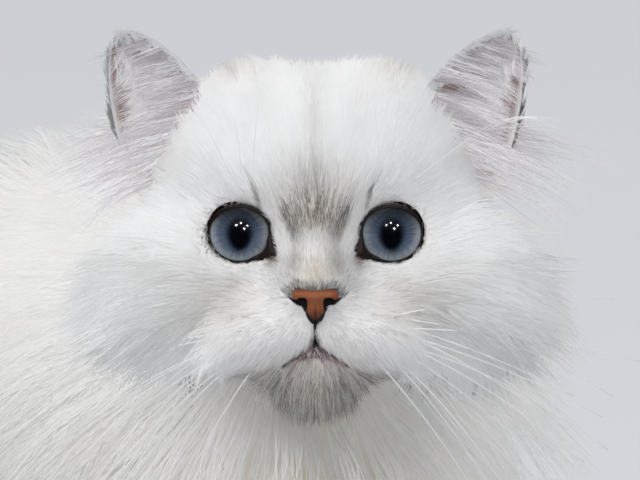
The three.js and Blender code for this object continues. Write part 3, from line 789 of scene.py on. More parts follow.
def coat(name, surface, count, style, seed, weight):
    """Grows a coat and splits it into pieces of at most PIECE_TRIANGLES triangles each."""
    points, colours, uv, upper, under = grow(surface, count, style, seed, weight)
    steps = style.steps
    each = 3 * steps + 1
    k = np.arange(3)
    after = (k + 1) % 3
    band = np.stack([k, k + 3, after + 3, after], axis=1)
    last = 3 * (steps - 1)
    point = np.stack([last + k, np.full(3, each - 1), last + after], axis=1)
    pieces = math.ceil(len(points) / (PIECE_TRIANGLES // (6 * steps - 2)))
    for number in range(pieces):
        part = slice(number * len(points) // pieces, (number + 1) * len(points) // pieces)
        few = len(points[part])
        start = (np.arange(few) * each)[:, None]
        quads = [start[:, :, None] + 3 * s + band for s in range(steps - 1)]
        ends = start[:, :, None] + point
        faces = [start + k] + [q.reshape(-1, 4) for q in quads] + [ends.reshape(-1, 3)]
        corners = np.concatenate([f.ravel() for f in faces])
        label = name if pieces == 1 else f"{name}_{number + 1}"
        made = mesh_object(label, placed(points[part].reshape(-1, 3)), faces)
        set_colours(made, colours[part].reshape(-1, 3))
        set_unwrap(made, uv[part].reshape(-1, 2)[corners])
        below = [np.tile(np.repeat(k == 0, f.shape[1]), few) for f in faces[1:]]
        below = np.concatenate([np.zeros(faces[0].size, bool)] + below)[:, None]
        shading = np.where(below, under[part].reshape(-1, 3)[corners], upper[part].reshape(-1, 3)[corners])
        layer = made.data.attributes.new("custom_normal", "FLOAT_VECTOR", "CORNER")
        layer.data.foreach_set("vector", np.ascontiguousarray(shading, np.float32).ravel())
        made.data.update()
        lets_light_through(made)
        dress(made, COAT)


# Materials.
def shader(name, values):
    made = bpy.data.materials.new(name)
    made.use_nodes = True
    surface = made.node_tree.nodes["Principled BSDF"]
    settle(surface, values)
    return made, made.node_tree.nodes, made.node_tree.links, surface


def settle(node, values):
    for name, value in values.items():
        node.inputs[name].default_value = value


def add_node(nodes, kind, values):
    node = nodes.new("ShaderNode" + kind)
    settle(node, values)
    return node


def join(links, *rows):
    """Links each row's node and output to its second node and input."""
    for source, output, target, entry in rows:
        links.new(source.outputs[output], target.inputs[entry])


def varied_tint(nodes, links, surface, scale, least):
    """The Tint attribute as base colour, darkened in places by noise down to least."""
    tint = nodes.new("ShaderNodeAttribute")
    tint.attribute_name = "Tint"
    place = nodes.new("ShaderNodeTexCoord")
    noise = add_node(nodes, "TexNoise", {"Scale": scale, "Detail": 4})
    spread = add_node(nodes, "MapRange", {"From Min": 0.3, "From Max": 0.7, "To Min": least, "To Max": 1})
    blend = nodes.new("ShaderNodeMix")
    blend.data_type = "RGBA"
    blend.blend_type = "MULTIPLY"
    blend.inputs["Factor"].default_value = 1
    join(
        links,
        (place, "Object", noise, "Vector"),
        (noise, "Fac", spread, "Value"),
        (tint, "Color", blend, "A"),
        (spread, "Result", blend, "B"),
        (blend, "Result", surface, "Base Color"),
    )


def bumped(nodes, links, surface, kind, output, scale, strength, distance):
    """Bump from a texture in object space."""
    grain = add_node(nodes, kind, {"Scale": scale})
    place = nodes.new("ShaderNodeTexCoord")
    bump = add_node(nodes, "Bump", {"Strength": strength, "Distance": distance})
    join(
        links,
        (place, "Object", grain, "Vector"),
        (grain, output, bump, "Height"),
        (bump, "Normal", surface, "Normal"),
    )


def tint_material(name, scale, least, values):
    made, nodes, links, surface = shader(name, values)
    varied_tint(nodes, links, surface, scale, least)
    return made


def skin_material(name, roughness, gloss, scale, height):
    values = {"Roughness": roughness, "Specular IOR Level": gloss}
    made, nodes, links, surface = shader(name, values)
    varied_tint(nodes, links, surface, 220, 0.9)
    bumped(nodes, links, surface, "TexVoronoi", "Distance", scale, 0.5, height)
    return made


def cornea_material():
    values = {"Base Color": (1, 1, 1, 1), "Roughness": 0.1, "Transmission Weight": 1, "IOR": 1.376}
    made, nodes, links, surface = shader("cornea", values)
    bumped(nodes, links, surface, "TexNoise", "Fac", 60, 0.02, 0.0001)
    return made


COAT = tint_material("coat", 90, 0.93, {"Roughness": 0.6, "Specular IOR Level": 0.25, "Sheen Weight": 0.15})
SKIN = skin_material("skin", 0.65, 0.3, 900, 0.0002)
LEATHER = skin_material("leather", 0.6, 0.16, 2200, 0.00015)
RIM = skin_material("eye_rim", 0.6, 0.15, 1500, 0.0001)
IRIS = tint_material("iris", 1400, 0.85, {"Roughness": 0.6, "Specular IOR Level": 0})
CLEAR = cornea_material()


# The tail, curled forward along the left side.
TAIL_LINE = np.array(
    [(10, 188, 50), (42, 230, 24), (98, 226, 20), (134, 172, 20), (142, 105, 20), (136, 38, 19)], float
)
TAIL_SKIN = 11.0
TAIL_POINTS = 120
TAIL_AROUND = 40


def curve_points(line, count):
    """Evenly spaced points of a smooth curve through a line's points."""
    ends = np.vstack([2 * line[0] - line[1], line, 2 * line[-1] - line[-2]])
    t = np.linspace(0, 1, 60)[:, None]
    fine = np.vstack([
        0.5 * (2 * b + (c - a) * t + (2 * a - 5 * b + 4 * c - d) * t**2 + (3 * b - a - 3 * c + d) * t**3)
        for a, b, c, d in zip(ends[:-3], ends[1:-2], ends[2:-1], ends[3:])
    ])
    reach = np.append(0, np.cumsum(np.linalg.norm(np.diff(fine, axis=0), axis=1)))
    wanted = np.linspace(0, reach[-1], count)
    return np.stack([np.interp(wanted, reach, fine[:, i]) for i in range(3)], axis=1)


TAIL_CURVE = curve_points(TAIL_LINE, TAIL_POINTS)
TAIL_WAYS = unit(np.gradient(TAIL_CURVE, axis=0))
TAIL_SIDES = unit(np.cross(TAIL_WAYS, [0, 0, 1.0]))
TAIL_OVERS = np.cross(TAIL_SIDES, TAIL_WAYS)


def tail_surface():
    t = np.linspace(0, 1, TAIL_POINTS)
    closing = np.sqrt(np.clip(1 - np.maximum(0, (t - 0.9) / 0.1) ** 2, 0.02, 1))
    radius = TAIL_SKIN * mix(0.8, 1, np.minimum(1, 3 * t)) * closing
    rings = rings_round(TAIL_CURVE, radius, TAIL_SIDES, TAIL_OVERS, circle(TAIL_AROUND))
    return loft(rings, TAIL_CURVE[TAIL_POINTS // 2])


def nearest_on_tail(p, every=1):
    """The number of the tail's point that is nearest to each place."""
    return every * np.argmin(np.linalg.norm(p[:, None] - TAIL_CURVE[None, ::every], axis=2), axis=1)


def tail_way(p):
    """The tail's own direction near each place."""
    return TAIL_WAYS[nearest_on_tail(p, 4)]


def tail_flattened(p):
    """How far round and how far along the tail each place is, both 0 to 1."""
    near = nearest_on_tail(p)
    away = p - TAIL_CURVE[near]
    turn = np.arctan2((away * TAIL_OVERS[near]).sum(axis=1), (away * TAIL_SIDES[near]).sum(axis=1))
    return np.stack([turn / (2 * math.pi) + 0.5, near / (TAIL_POINTS - 1)], axis=1)


# The ears: cupped shells, in the head's frame for the left ear and mirrored for the right.
EAR_BASE = np.array([42, 38, 24.0])
EAR_TIP = np.array([61.5, 34, 62.0])
EAR_INNER = np.array([31, 30, 42.0])
EAR_OUTER = np.array([55, 40, 22.0])
EAR_HALF = 19.0
EAR_CUP = 12.0
EAR_THICK = 2.8
EAR_UP = EAR_TIP - EAR_BASE
EAR_ACROSS = unit(EAR_OUTER - EAR_INNER)
EAR_FRONT = unit(np.cross(EAR_ACROSS, EAR_UP))
EAR_COLUMNS = 41
EAR_ROWS = 60


def ear_half(v):
    """Half the ear's width at a share of its height."""
    return EAR_HALF * np.maximum(1 - v**1.8, 0) ** 0.62


def ear_point(u, v, front):
    cup = EAR_CUP * np.sin(math.pi * mix(0.12, 0.97, v)) ** 0.7 * (1 - u * u)
    up = EAR_BASE + v[..., None] * EAR_UP
    return up + (u * ear_half(v))[..., None] * EAR_ACROSS + (front - cup)[..., None] * EAR_FRONT


def ear_surfaces(side):
    """The whole ear, its front and its back."""
    heights, across = np.linspace(-0.1, 0.992, EAR_ROWS), np.linspace(-1, 1, EAR_COLUMNS)
    v, u = np.meshgrid(heights, across, indexing="ij")
    safe = np.maximum(v, 0)
    buried = np.minimum(v, 0)[..., None] * EAR_UP
    thin = EAR_THICK / 2 * np.sqrt(np.clip(1 - u**4, 0.02, 1)) * mix(1, 0.5, safe)
    front, back = (from_head(mirrored(ear_point(u, safe, lift) + buried, side)) for lift in (thin, -thin))
    middle = from_head(mirrored(EAR_BASE + 0.4 * EAR_UP, side))
    facing = mirrored(EAR_FRONT, side) @ HEAD_AXES.T
    quads = [grid_quads(EAR_ROWS, EAR_COLUMNS)]
    whole = loft(np.concatenate([front, back[:, ::-1]], axis=1), middle)
    faces = [(front, facing), (back, -facing)]
    return whole, *(Surface(grid.reshape(-1, 3), quads, middle, way) for grid, way in faces)


def ear_uv(p):
    """How far across and up its ear a place is."""
    q = to_head(p)
    q = mirrored(q, np.sign(q[:, :1])) - EAR_BASE
    v = q @ EAR_UP / (EAR_UP @ EAR_UP)
    return q @ EAR_ACROSS / ear_half(np.clip(v, 0, 0.99)), v


head_rays, head_faces = ball_grid(270, 220, crowd=1.45, tilt=NOSE_TILT)
HEAD_SURFACE = Surface(from_head(head_points(head_rays)), head_faces, from_head(HEAD.middle))
NECK_SURFACE = form_surface(NECK, 60, 40, depth=-8)
CHEST_SURFACE = form_surface(CHEST, 60, 40, depth=-8)
TORSO_SURFACE = form_surface(TORSO, 90, 70, depth=-8)
THIGHS = {side: form_surface(thigh(side), 60, 44, depth=-5) for side in SIDES}
FEET = {side: form_surface(hind_foot(side), 90, 80) for side in SIDES}
FORELEGS = {side: form_surface(foreleg(side), 56, 44, depth=-2) for side in SIDES}
PAWS = {side: form_surface(fore_paw(side), 90, 70) for side in SIDES}
TAIL_SURFACE = tail_surface()
TAIL_SURFACE.flattened = tail_flattened
EARS = {side: ear_surfaces(side) for side in SIDES}


def not_in(*forms):
    """A weight that is 1 outside some forms and 0 well inside any of them."""
    return lambda p: np.prod([ease(-3, 1, form.distance(p)) for form in forms], axis=0)


def out_of_head_and_torso(p):
    return ease(-6, 0, HEAD.distance(to_head(p))) * not_in(TORSO)(p)


# The skin: every part's surface joined into one.
def joined_skin():
    parts = [HEAD_SURFACE, NECK_SURFACE, CHEST_SURFACE, TORSO_SURFACE, TAIL_SURFACE]
    for side in SIDES:
        parts += [EARS[side][0], THIGHS[side], FEET[side], FORELEGS[side], PAWS[side]]
    whole, *others = [mesh_object("skin", placed(part.points), part.faces) for part in parts]
    for piece in others:
        union = whole.modifiers.new("Union", "BOOLEAN")
        union.operation = "UNION"
        union.solver = "MANIFOLD"
        union.object = piece
        mesh = bpy.data.meshes.new_from_object(whole.evaluated_get(bpy.context.evaluated_depsgraph_get()))
        whole.modifiers.clear()
        old = whole.data
        whole.data = mesh
        bpy.data.meshes.remove(old)
        bpy.data.objects.remove(piece)
    return whole


EAR_NEAR = 1.5
PLACES_AT_ONCE = 500


def ear_inside(q):
    """1 on the hollow face of either ear."""
    _, front, back = EARS[1]
    left = mirrored(q, np.where(q[:, :1] > 0, 1, -1))
    share = np.zeros(len(q))
    near = np.flatnonzero((left[:, 0] > 20) & (left[:, 2] > 18) & (left[:, 1] > 15))
    across = np.linspace(-1, 1, EAR_COLUMNS)
    front_points, back_points = to_head(front.points), to_head(back.points)
    for few in np.array_split(near, 1 + len(near) // PLACES_AT_ONCE):
        to_front = np.linalg.norm(left[few, None] - front_points, axis=2)
        to_back = np.linalg.norm(left[few, None] - back_points, axis=2).min(axis=1)
        u = across[to_front.argmin(axis=1) % EAR_COLUMNS]
        on_front = to_front.min(axis=1) < np.minimum(to_back, EAR_NEAR)
        share[few] = on_front * ease(0.95, 0.86, np.abs(u))
    return share


skin = joined_skin()
skin_metres = np.empty(len(skin.data.vertices) * 3, np.float32)
skin.data.vertices.foreach_get("co", skin_metres)
skin_in_head = to_head(skin_metres.reshape(-1, 3).astype(float) / METRE - CENTRING)
near_head = HEAD.distance(skin_in_head) < 3
skin_colour = np.repeat(mix(COAT_WHITE, SKIN_PINK, 0.2)[None], len(skin_in_head), axis=0)
skin_colour[near_head] = head_skin_colour(skin_in_head[near_head])
set_colours(skin, mix(skin_colour, EAR_PINK, 0.9 * ear_inside(skin_in_head)[:, None]))
skin.data.polygons.foreach_set("use_smooth", np.ones(len(skin.data.polygons), bool))
skin.data.materials.clear()
dress(skin, SKIN)
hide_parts(*[node for node in frame["nodes"] if node.split("_")[0] not in ("eye", "nose")])


# The nose leather.
def nose_leather():
    rays, faces = ball_grid(180, 110, crowd=0.8)
    q = NOSE.along(rays, lambda p: np.zeros(len(p)))
    groove = np.exp(-((q[:, 0] / 0.3) ** 2)) * ease(-19.5, -22.5, q[:, 2])
    hole = np.maximum(stroke(q, NOSTRIL_LINE, NOSTRIL_HALF), stroke(q, WING_LINE, WING_HALF))
    hole = hole * (q[:, 1] < -4)
    lobe = np.exp(-((np.hypot(np.abs(q[:, 0]) - 4.9, q[:, 2] + 17.9) / 1.4) ** 2))
    saddle = np.exp(-((q[:, 0] / 2.2) ** 2)) * ease(-19.5, -16.5, q[:, 2])
    q[:, 1] += np.where(q[:, 1] < -6, 1.5 * hole + 0.4 * groove - 0.4 * lobe + 0.3 * saddle, 0)
    q[:, 2] -= 0.2 * saddle
    edge = stroke(q, COLUMN_LINE, COLUMN_HALF) + ease(-10.4, -9.6, q[:, 1]) * (q[:, 2] < -19)
    colour = tinted(
        LEATHER_ORANGE,
        [
            (LEATHER_LOW, 0.9 * ease(-20.5, -25.0, q[:, 2])),
            # painted shade along the leather's top edge
            (LEATHER_TOP_SHADE, 0.7 * ease(-17.2, -16.0, q[:, 2])),
            # painted shade in the middle groove
            (LEATHER_GROOVE_SHADE, 0.6 * groove),
            # The nostril openings and slits are painted black as shade; the black along the column and the
            # lower edge is the leather's own dark rim.
            (NOSTRIL_BLACK, np.clip(1.3 * hole + 0.95 * edge, 0, 1)),
        ],
    )
    made = mesh_object("nose_leather", placed(from_head(q)), faces)
    set_colours(made, colour)
    dress(made, LEATHER)
    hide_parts("nose")


nose_leather()


# The eyes: a ball whose front is the iris, under a clear cornea, in a dark rim.
CORNEA = 9.8
CORNEA_BACK = 9.9
CORNEA_AROUND = 96
IRIS_RADIUS = 8.5
IRIS_BACK = 4.1
IRIS_DISH = 1.7
PUPIL_WIDE = 2.3
PUPIL_HIGH = 3.7
BALL_EDGE = 9.5
EYE_AROUND = 240
LID_AROUND = 160
LID_RING = 14


def polar_disc(around, radii):
    """A disc's x and z places, a centre and rings, and its faces."""
    x = np.append(0, np.outer(radii, np.cos(circle(around))))
    z = np.append(0, np.outer(radii, np.sin(circle(around))))
    return x, z, [fan(0, 1, around), ring_quads(len(radii), around, 1)]


def cornea_y(r):
    return CORNEA_BACK - np.sqrt(CORNEA**2 - r**2)


def iris_colour(x, z, random):
    r, turn = np.hypot(x, z), np.arctan2(z, x)
    fibre = np.zeros(len(r))
    for count in range(18, 150, 3):
        twist = random.normal() * 0.12
        fibre += math.sqrt(30 / count) * np.cos(count * turn + twist * r + random.uniform(0, 2 * math.pi))
    fibre = 0.22 * fibre
    share = r / IRIS_RADIUS
    colour = tinted(
        IRIS_INNER,
        [
            (IRIS_MIDDLE, ease(0.3, 0.6, share + 0.03 * fibre)),
            (IRIS_OUTER, ease(0.6, 0.88, share + 0.04 * fibre)),
        ],
    )
    colour = mix(colour * (1 + 0.05 * fibre)[:, None], IRIS_EDGE, ease(0.93, 1.0, share)[:, None])
    # The iris's upper part is painted dark for the upper lid's shadow.
    colour = mix(colour, colour * 0.16, ease(-1.5, 6.5, z)[:, None])
    pupil = np.hypot(x / PUPIL_WIDE, (z + 0.6) / PUPIL_HIGH)
    colour = mix(colour, PUPIL_BLACK, ease(1.6, 0.8, pupil)[:, None])
    return mix(colour, RIM_BLACK, ease(1.02, 1.06, share)[:, None])


def make_eye(side, name):
    place = np.array([side * EYE_SPACING / 2, 0, 0])
    radii = np.linspace(0.12, BALL_EDGE, 56)
    x, z, faces = polar_disc(EYE_AROUND, radii)
    front = ways(x, IRIS_BACK + IRIS_DISH * (np.hypot(x, z) / IRIS_RADIUS) ** 2, z)
    polar = np.linspace(math.asin(BALL_EDGE / GLOBE_RADIUS), math.pi, 14)[1:-1, None]
    out = GLOBE_RADIUS * np.sin(polar)
    turn = circle(EYE_AROUND)
    back = ways(out * np.cos(turn), GLOBE_BACK - GLOBE_RADIUS * np.cos(polar), out * np.sin(turn))
    points = np.vstack([front, back.reshape(-1, 3), [[0, GLOBE_BACK + GLOBE_RADIUS, 0]]])
    rings = len(radii) + len(polar)
    close = fan(len(points) - 1, 1 + (rings - 1) * EYE_AROUND, EYE_AROUND)[:, [1, 0, 2]]
    faces = [faces[0], ring_quads(rings, EYE_AROUND, 1), close]
    ball = mesh_object("eyeball_" + name, placed(from_head(points + place)), faces)
    iris = iris_colour(side * x, z, np.random.default_rng(60 + side))
    set_colours(ball, np.vstack([iris, np.tile(RIM_BLACK, (len(points) - len(front), 1))]))
    dress(ball, IRIS)
    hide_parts("eye_" + name)
    x, z, faces = polar_disc(CORNEA_AROUND, np.linspace(0.3, 9.3, 40))
    dome = ways(x, cornea_y(np.hypot(x, z)), z)
    cornea = mesh_object("cornea_" + name, placed(from_head(dome + place)), faces)
    lets_light_through(cornea)
    dress(cornea, CLEAR)


def make_lid(side, name):
    """The dark wet rim of an eye's opening, as a closed ring between ball and skin."""
    turn = circle(LID_AROUND)
    corner = at_tear_corner(turn, 0.4)
    thick = 0.32 + 0.2 * ease(-0.2, 1, np.sin(turn)) + 1.3 * corner
    middle = opening_radius(turn) + 0.1 - 0.9 * corner
    x, z = middle * np.cos(turn), middle * np.sin(turn)
    skin_y = face_y(EYE_SPACING / 2 + x, z)
    y = np.minimum(cornea_y(np.minimum(middle, 9.2)), skin_y + 0.5) + 0.15
    out = 1.25 * ways(np.cos(turn), 0, np.sin(turn))
    inward = np.tile([0, 1.0, 0], (LID_AROUND, 1))
    rings = rings_round(ways(x, y, z), thick, out, inward, circle(LID_RING))
    q = mirrored(rings.reshape(-1, 3) + np.array([EYE_SPACING / 2, 0, 0]), side)
    quads = ring_quads(LID_AROUND + 1, LID_RING)[:, [0, 3, 2, 1]] % (LID_AROUND * LID_RING)
    lid = mesh_object("eye_rim_" + name, placed(from_head(q)), [quads if side > 0 else quads[:, ::-1]])
    outside = np.tile(np.cos(circle(LID_RING)), LID_AROUND)
    brown = np.maximum(0.3 * ease(0.2, 1, outside), 0.4 * np.repeat(corner, LID_RING))
    set_colours(lid, tinted(RIM_BLACK, [(RIM_BROWN, brown)]))
    dress(lid, RIM)


for side, name in SIDES.items():
    make_eye(side, name)
    make_lid(side, name)


# The coat on the head.
FACE_CENTRE = np.array([0, -6, -21.0])
CHIN_TOP = np.array([0, -4, -33.0])
EYE_FRONT = np.array([[EYE_SPACING / 2, 4, 0]])


def head_lie(p, normal):
    """Away from the nose, round the eyes, and fanned down from the chin's top."""
    q = to_head(p)
    eye = mirrored(EYE_FRONT, np.where(q[:, :1] > 0, 1, -1))
    way = unit(unit(q - FACE_CENTRE) + 0.9 * ease(9, 0, eye_space(q))[:, None] * unit(q - eye))
    chin = ease(-34, -38, q[:, 2]) * ease(24, 14, np.abs(q[:, 0]))
    way = mix(way, unit(q - CHIN_TOP), 0.9 * chin[:, None])
    falling = 0.5 * ease(-26, -34, q[:, 2]) + 0.35 * cheekness(q) + 0.1
    return (way + falling[:, None] * DOWN) @ HEAD_AXES.T


def head_length(p):
    q = to_head(p)
    away = from_nose(q)
    length = 3.0 + 5.5 * ease(8, 34, away) + 8 * ease(30, 62, away)
    length += 13 * cheekness(q) + 6 * ease(15, 60, q[:, 1]) + 5 * ease(-33, -44, q[:, 2])
    space = eye_space(q)
    length = np.minimum(length, 1.8 + 0.45 * np.maximum(space, 0) + 40 * ease(4, 16, space))
    return length * (1 - 0.6 * lip_share(q))


def head_coat_colour(p, random):
    q = to_head(p)
    dark = np.clip(head_grey_and_shade(q) * (0.55 + 0.8 * random.random(len(p))), 0, 1)
    ticking = 0.35 * ease(40, 24, from_nose(q)) * random.random(len(p)) ** 3
    # Painted shade on the muzzle's pads, darker between tufts at random.
    pad_shade = patches(q, PADS) * (0.1 + 0.4 * random.random(len(p)) ** 2)
    return tinted(
        COAT_WHITE,
        [
            (COAT_BEIGE, head_beige(q) * (0.6 + 0.6 * random.random(len(p)))),
            (COAT_GREY, np.clip(dark + ticking + patches(q, WHISKER_SPOTS), 0, 1)),
            (COAT_BROWN, head_brown(q)),
            (PAD_SHADE_PURPLE, pad_shade),
            (LIP_PURPLE, lip_share(q) * (0.4 + 0.6 * random.random(len(p)))),
        ],
    )


def face_tip(p, base, random):
    """Hairs that root on a whisker spot are dark only near their roots."""
    return mix(base, COAT_WHITE, np.clip(1.5 * patches(to_head(p), WHISKER_SPOTS), 0, 1)[:, None])


def face_weight(p):
    """Strands keep clear of the eyes, the nose and the lines of the face, and thin out from it."""
    q = to_head(p)
    away = from_nose(q)
    clear = ease(0.4, 1.2, eye_space(q)) * ease(0.2, 0.8, NOSE.distance(q))
    clear *= 1 - stroke(q, PHILTRUM, PHILTRUM_HALF, 0.2)
    clear *= 1 - stroke(q, WING_LINE, WING_HALF, 0.3)
    clear *= 1 - 0.8 * stroke(q, MOUTH_LINE, PARTING_HALF, 0.3)
    clear *= ease(-52, -47, q[:, 2]) * (q[:, 1] < FACE_DEPTH)
    return clear * (0.25 + 0.75 * ease(60, 30, away)) * ease(64, 48, away)


def crown_weight(p):
    """Strands keep clear of the face, the eyes, the cheeks and what the ears' openings look over."""
    q = to_head(p)
    before_ear = ease(17, 10, np.hypot(np.abs(q[:, 0]) - 46, q[:, 2] - 36)) * (q[:, 1] < 55)
    clear = ease(34, 52, from_nose(q)) * ease(4, 8, eye_space(q)) * ease(-52, -46, q[:, 2])
    return clear * (1 - 0.7 * cheekness(q)) * (1 - 0.8 * before_ear)


def cheek_weight(p):
    q = to_head(p)
    return cheekness(q) * ease(4, 8, eye_space(q)) * ease(-56, -48, q[:, 2])


def head_width(p):
    return 0.26 + 0.3 * ease(20, 70, from_nose(to_head(p)))


def cheek_length(p):
    q = to_head(p)
    return 14 + 38 * ease(28, 54, np.abs(q[:, 0])) * ease(14, -12, q[:, 2])


def fringe_weight(p):
    q = to_head(p)
    away = NOSE.distance(q)
    return ease(-0.1, 0.1, away) * ease(1.9, 1.2, away) * ease(-19, -18, q[:, 2]) * (q[:, 1] < 0)


def fringe_colour(p, random):
    q = to_head(p)
    dark = ease(1.9, 0.6, NOSE.distance(q)) * (0.5 + 0.5 * random.random(len(p)))
    return tinted(COAT_WHITE, [(COAT_BEIGE, 0.6 * patches(q, NOSE_TOP)), (FRINGE_GREY, dark)])


def fringe_tip(p, base, random):
    return mix(base, mix(COAT_WHITE, COAT_BEIGE, 0.3), 0.5)


FACE = Style(
    head_lie, head_length, lambda p: 0.5 + 0.9 * coat_depth(to_head(p)), head_width, head_coat_colour,
    members=5, spread=1.1, pinch=0.5, droop=0.02, stray=0.07, sink=0.15, turned=0.0, tip=face_tip, wave=0.015,
)
NOSE_FRINGE = Style(
    head_lie, 2.0, 0.5, 0.24, fringe_colour,
    members=4, spread=0.4, pinch=0.4, droop=0, stray=0.16, sink=0.1, turned=0.0, tip=fringe_tip, wave=0.01,
)
CROWN = Style(
    head_lie, head_length, lambda p: coat_depth(to_head(p)), head_width, head_coat_colour,
    members=6, spread=2.0, pinch=0.5, droop=0.03, stray=0.1, sink=0.5, turned=0.0, wave=0.02,
)
CHEEK = Style(head_lie, cheek_length, lambda p: 0.42 * cheek_length(p), 0.6, head_coat_colour, pinch=0.6)
coat("face_coat", HEAD_SURFACE, 36000, FACE, 11, face_weight)
coat("nose_fringe", HEAD_SURFACE, 800, NOSE_FRINGE, 14, fringe_weight)
coat("crown_coat", HEAD_SURFACE, 19000, CROWN, 12, crown_weight)
coat("cheek_coat", HEAD_SURFACE, 13000, CHEEK, 13, cheek_weight)


# The ears' coat.
def ear_way(p, across=0.0, up=1.0):
    side = np.where(to_head(p)[:, :1] > 0, 1, -1)
    return mirrored(up * unit(EAR_UP) + across * EAR_ACROSS, side) @ HEAD_AXES.T


def furnishing_length(p):
    """Inside the ear up to its outer edge, and long enough low down to hang out of it."""
    u, v = ear_uv(p)
    v = np.clip(v, 0, 0.98)
    return mix(0.76 * (1 - u) * ear_half(v) + 2, 54, ease(0.42, 0.15, v))


def furnishing_weight(p):
    u, v = ear_uv(p)
    return ease(-0.1, -0.6, u) * ease(0.97, 0.85, v) + 0.3 * ease(0.35, 0.1, v) * ease(0.5, 0, u)


def furnishing_colour(p, random):
    """Locks that cross the ear, with painted shade between the locks and toward their roots."""
    u, v = ear_uv(p)
    lock = 0.5 + 0.5 * np.sin(31 * v + 2.5 * u + 1.3 * np.sin(17 * v))
    share = np.clip(1.1 * random.random(len(p)) * (0.3 + 0.9 * lock), 0, 1)
    return tinted(FURNISHING_SHADE, [(FURNISHING_WHITE, share)])


def furnishing_tip(p, base, random):
    return mix(base, FURNISHING_TIP, 0.85)


def rim_weight(p):
    u, v = ear_uv(p)
    return ease(0.82, 0.92, np.abs(u)) + ease(0.93, 0.97, v)


def rim_lie(p, normal):
    return ear_way(p, 0.25 * np.sign(ear_uv(p)[0])[:, None])


def ear_back_weight(p):
    u, v = ear_uv(p)
    return ease(0.8, 0.6, u) * ease(-0.95, -0.8, u) * ease(0.97, 0.88, v)


def ear_back_colour(p, random):
    return tinted(EAR_WHITE, [(COAT_BEIGE, 0.35 * ease(0.5, 0, ear_uv(p)[1]))])


def ear_flattened(p):
    u, v = ear_uv(p)
    return np.stack([u / 2 + 0.5, v], axis=1)


FURNISHING = Style(
    lambda p, normal: ear_way(p, 1.0, 0.5),
    furnishing_length, lambda p: mix(20, 7, np.clip(ear_uv(p)[1], 0, 1)), 0.3, furnishing_colour,
    steps=4, members=13, spread=1.3, pinch=0.88, droop=0.22, stray=0.1, own_shade=0.9, sink=0.1, ragged=0.3,
    tip=furnishing_tip, facing=1.3 * FORWARD - 0.8 * DOWN,
)
EAR_OUTSIDE = Style(
    lambda p, normal: ear_way(p), lambda p: mix(10, 4, ear_uv(p)[1]), 1.2, 0.42, ear_back_colour,
    members=5, spread=1.4, droop=0, sink=0.0, own_shade=0.4, stray=0.06, facing=1.2 * FORWARD - 0.8 * DOWN,
)
EAR_FRINGE = Style(
    rim_lie, lambda p: 3.6 + 1.2 * ear_uv(p)[1], 0.9, 0.26, ear_back_colour,
    members=5, spread=0.7, droop=0, stray=0.08, own_shade=0.4, sink=0.1, facing=0.8 * FORWARD - 0.8 * DOWN,
)
for side, name in SIDES.items():
    _, front, back = EARS[side]
    front.flattened = back.flattened = ear_flattened
    coat("ear_furnishing_" + name, front, 1260, FURNISHING, 21 + side, furnishing_weight)
    coat("ear_coat_" + name, back, 2400, EAR_OUTSIDE, 24 + side, ear_back_weight)
    coat("ear_fringe_" + name, front, 1900, EAR_FRINGE, 27 + side, rim_weight)


# The coat on the body.
NECK_MIDDLE = np.array([0, 10, -12.0])


def body_colour(p, random):
    """Greyer on the back, with a beige bib, and painted shade on the flank beside the face."""
    q = to_head(p)
    tint = random.random(len(p))
    upper = ease(110, 165, p[:, 2]) * ease(-90, -20, p[:, 1])
    # Painted shade greys the flank beside the face.
    flank_shade = 0.04 * ease(-20, -50, q[:, 0]) + 0.4 * ease(-15, -40, q[:, 0]) * ease(-10, -50, q[:, 2])
    beige = 0.15 * random.random(len(p)) + 0.65 * patches(q, BIB_STAIN)
    return tinted(COAT_WHITE, [(COAT_GREY, (0.05 + 0.16 * upper + flank_shade) * tint), (COAT_BEIGE, beige)])


def neck_lie(p, normal):
    away = to_head(p) - NECK_MIDDLE
    way = unit(away * np.array([1, 0.25, 1])) @ HEAD_AXES.T
    return way + 0.25 * DOWN + [0, 0.1, 0]


def chest_lie(p, normal):
    return ways(0.008 * p[:, 0], 0.1, -1.0)


def torso_lie(p, normal):
    return ways(0.25 * normal[:, 0], 0.8, -0.9 * np.abs(normal[:, 0]) - 0.08)


def one_lie(x, y, z):
    return lambda p, normal: ways(x, y, z)


def tail_lie(p, normal):
    return tail_way(p) + 0.5 * normal


def tail_height(p):
    return mix(12, 34, ease(12, 28, p[:, 2]))


def tail_weight(p):
    """Strands root on the tail's upper half, short of its end."""
    return not_in(TORSO)(p) * ease(10, 17, p[:, 2]) * ease(40, 52, p[:, 1])


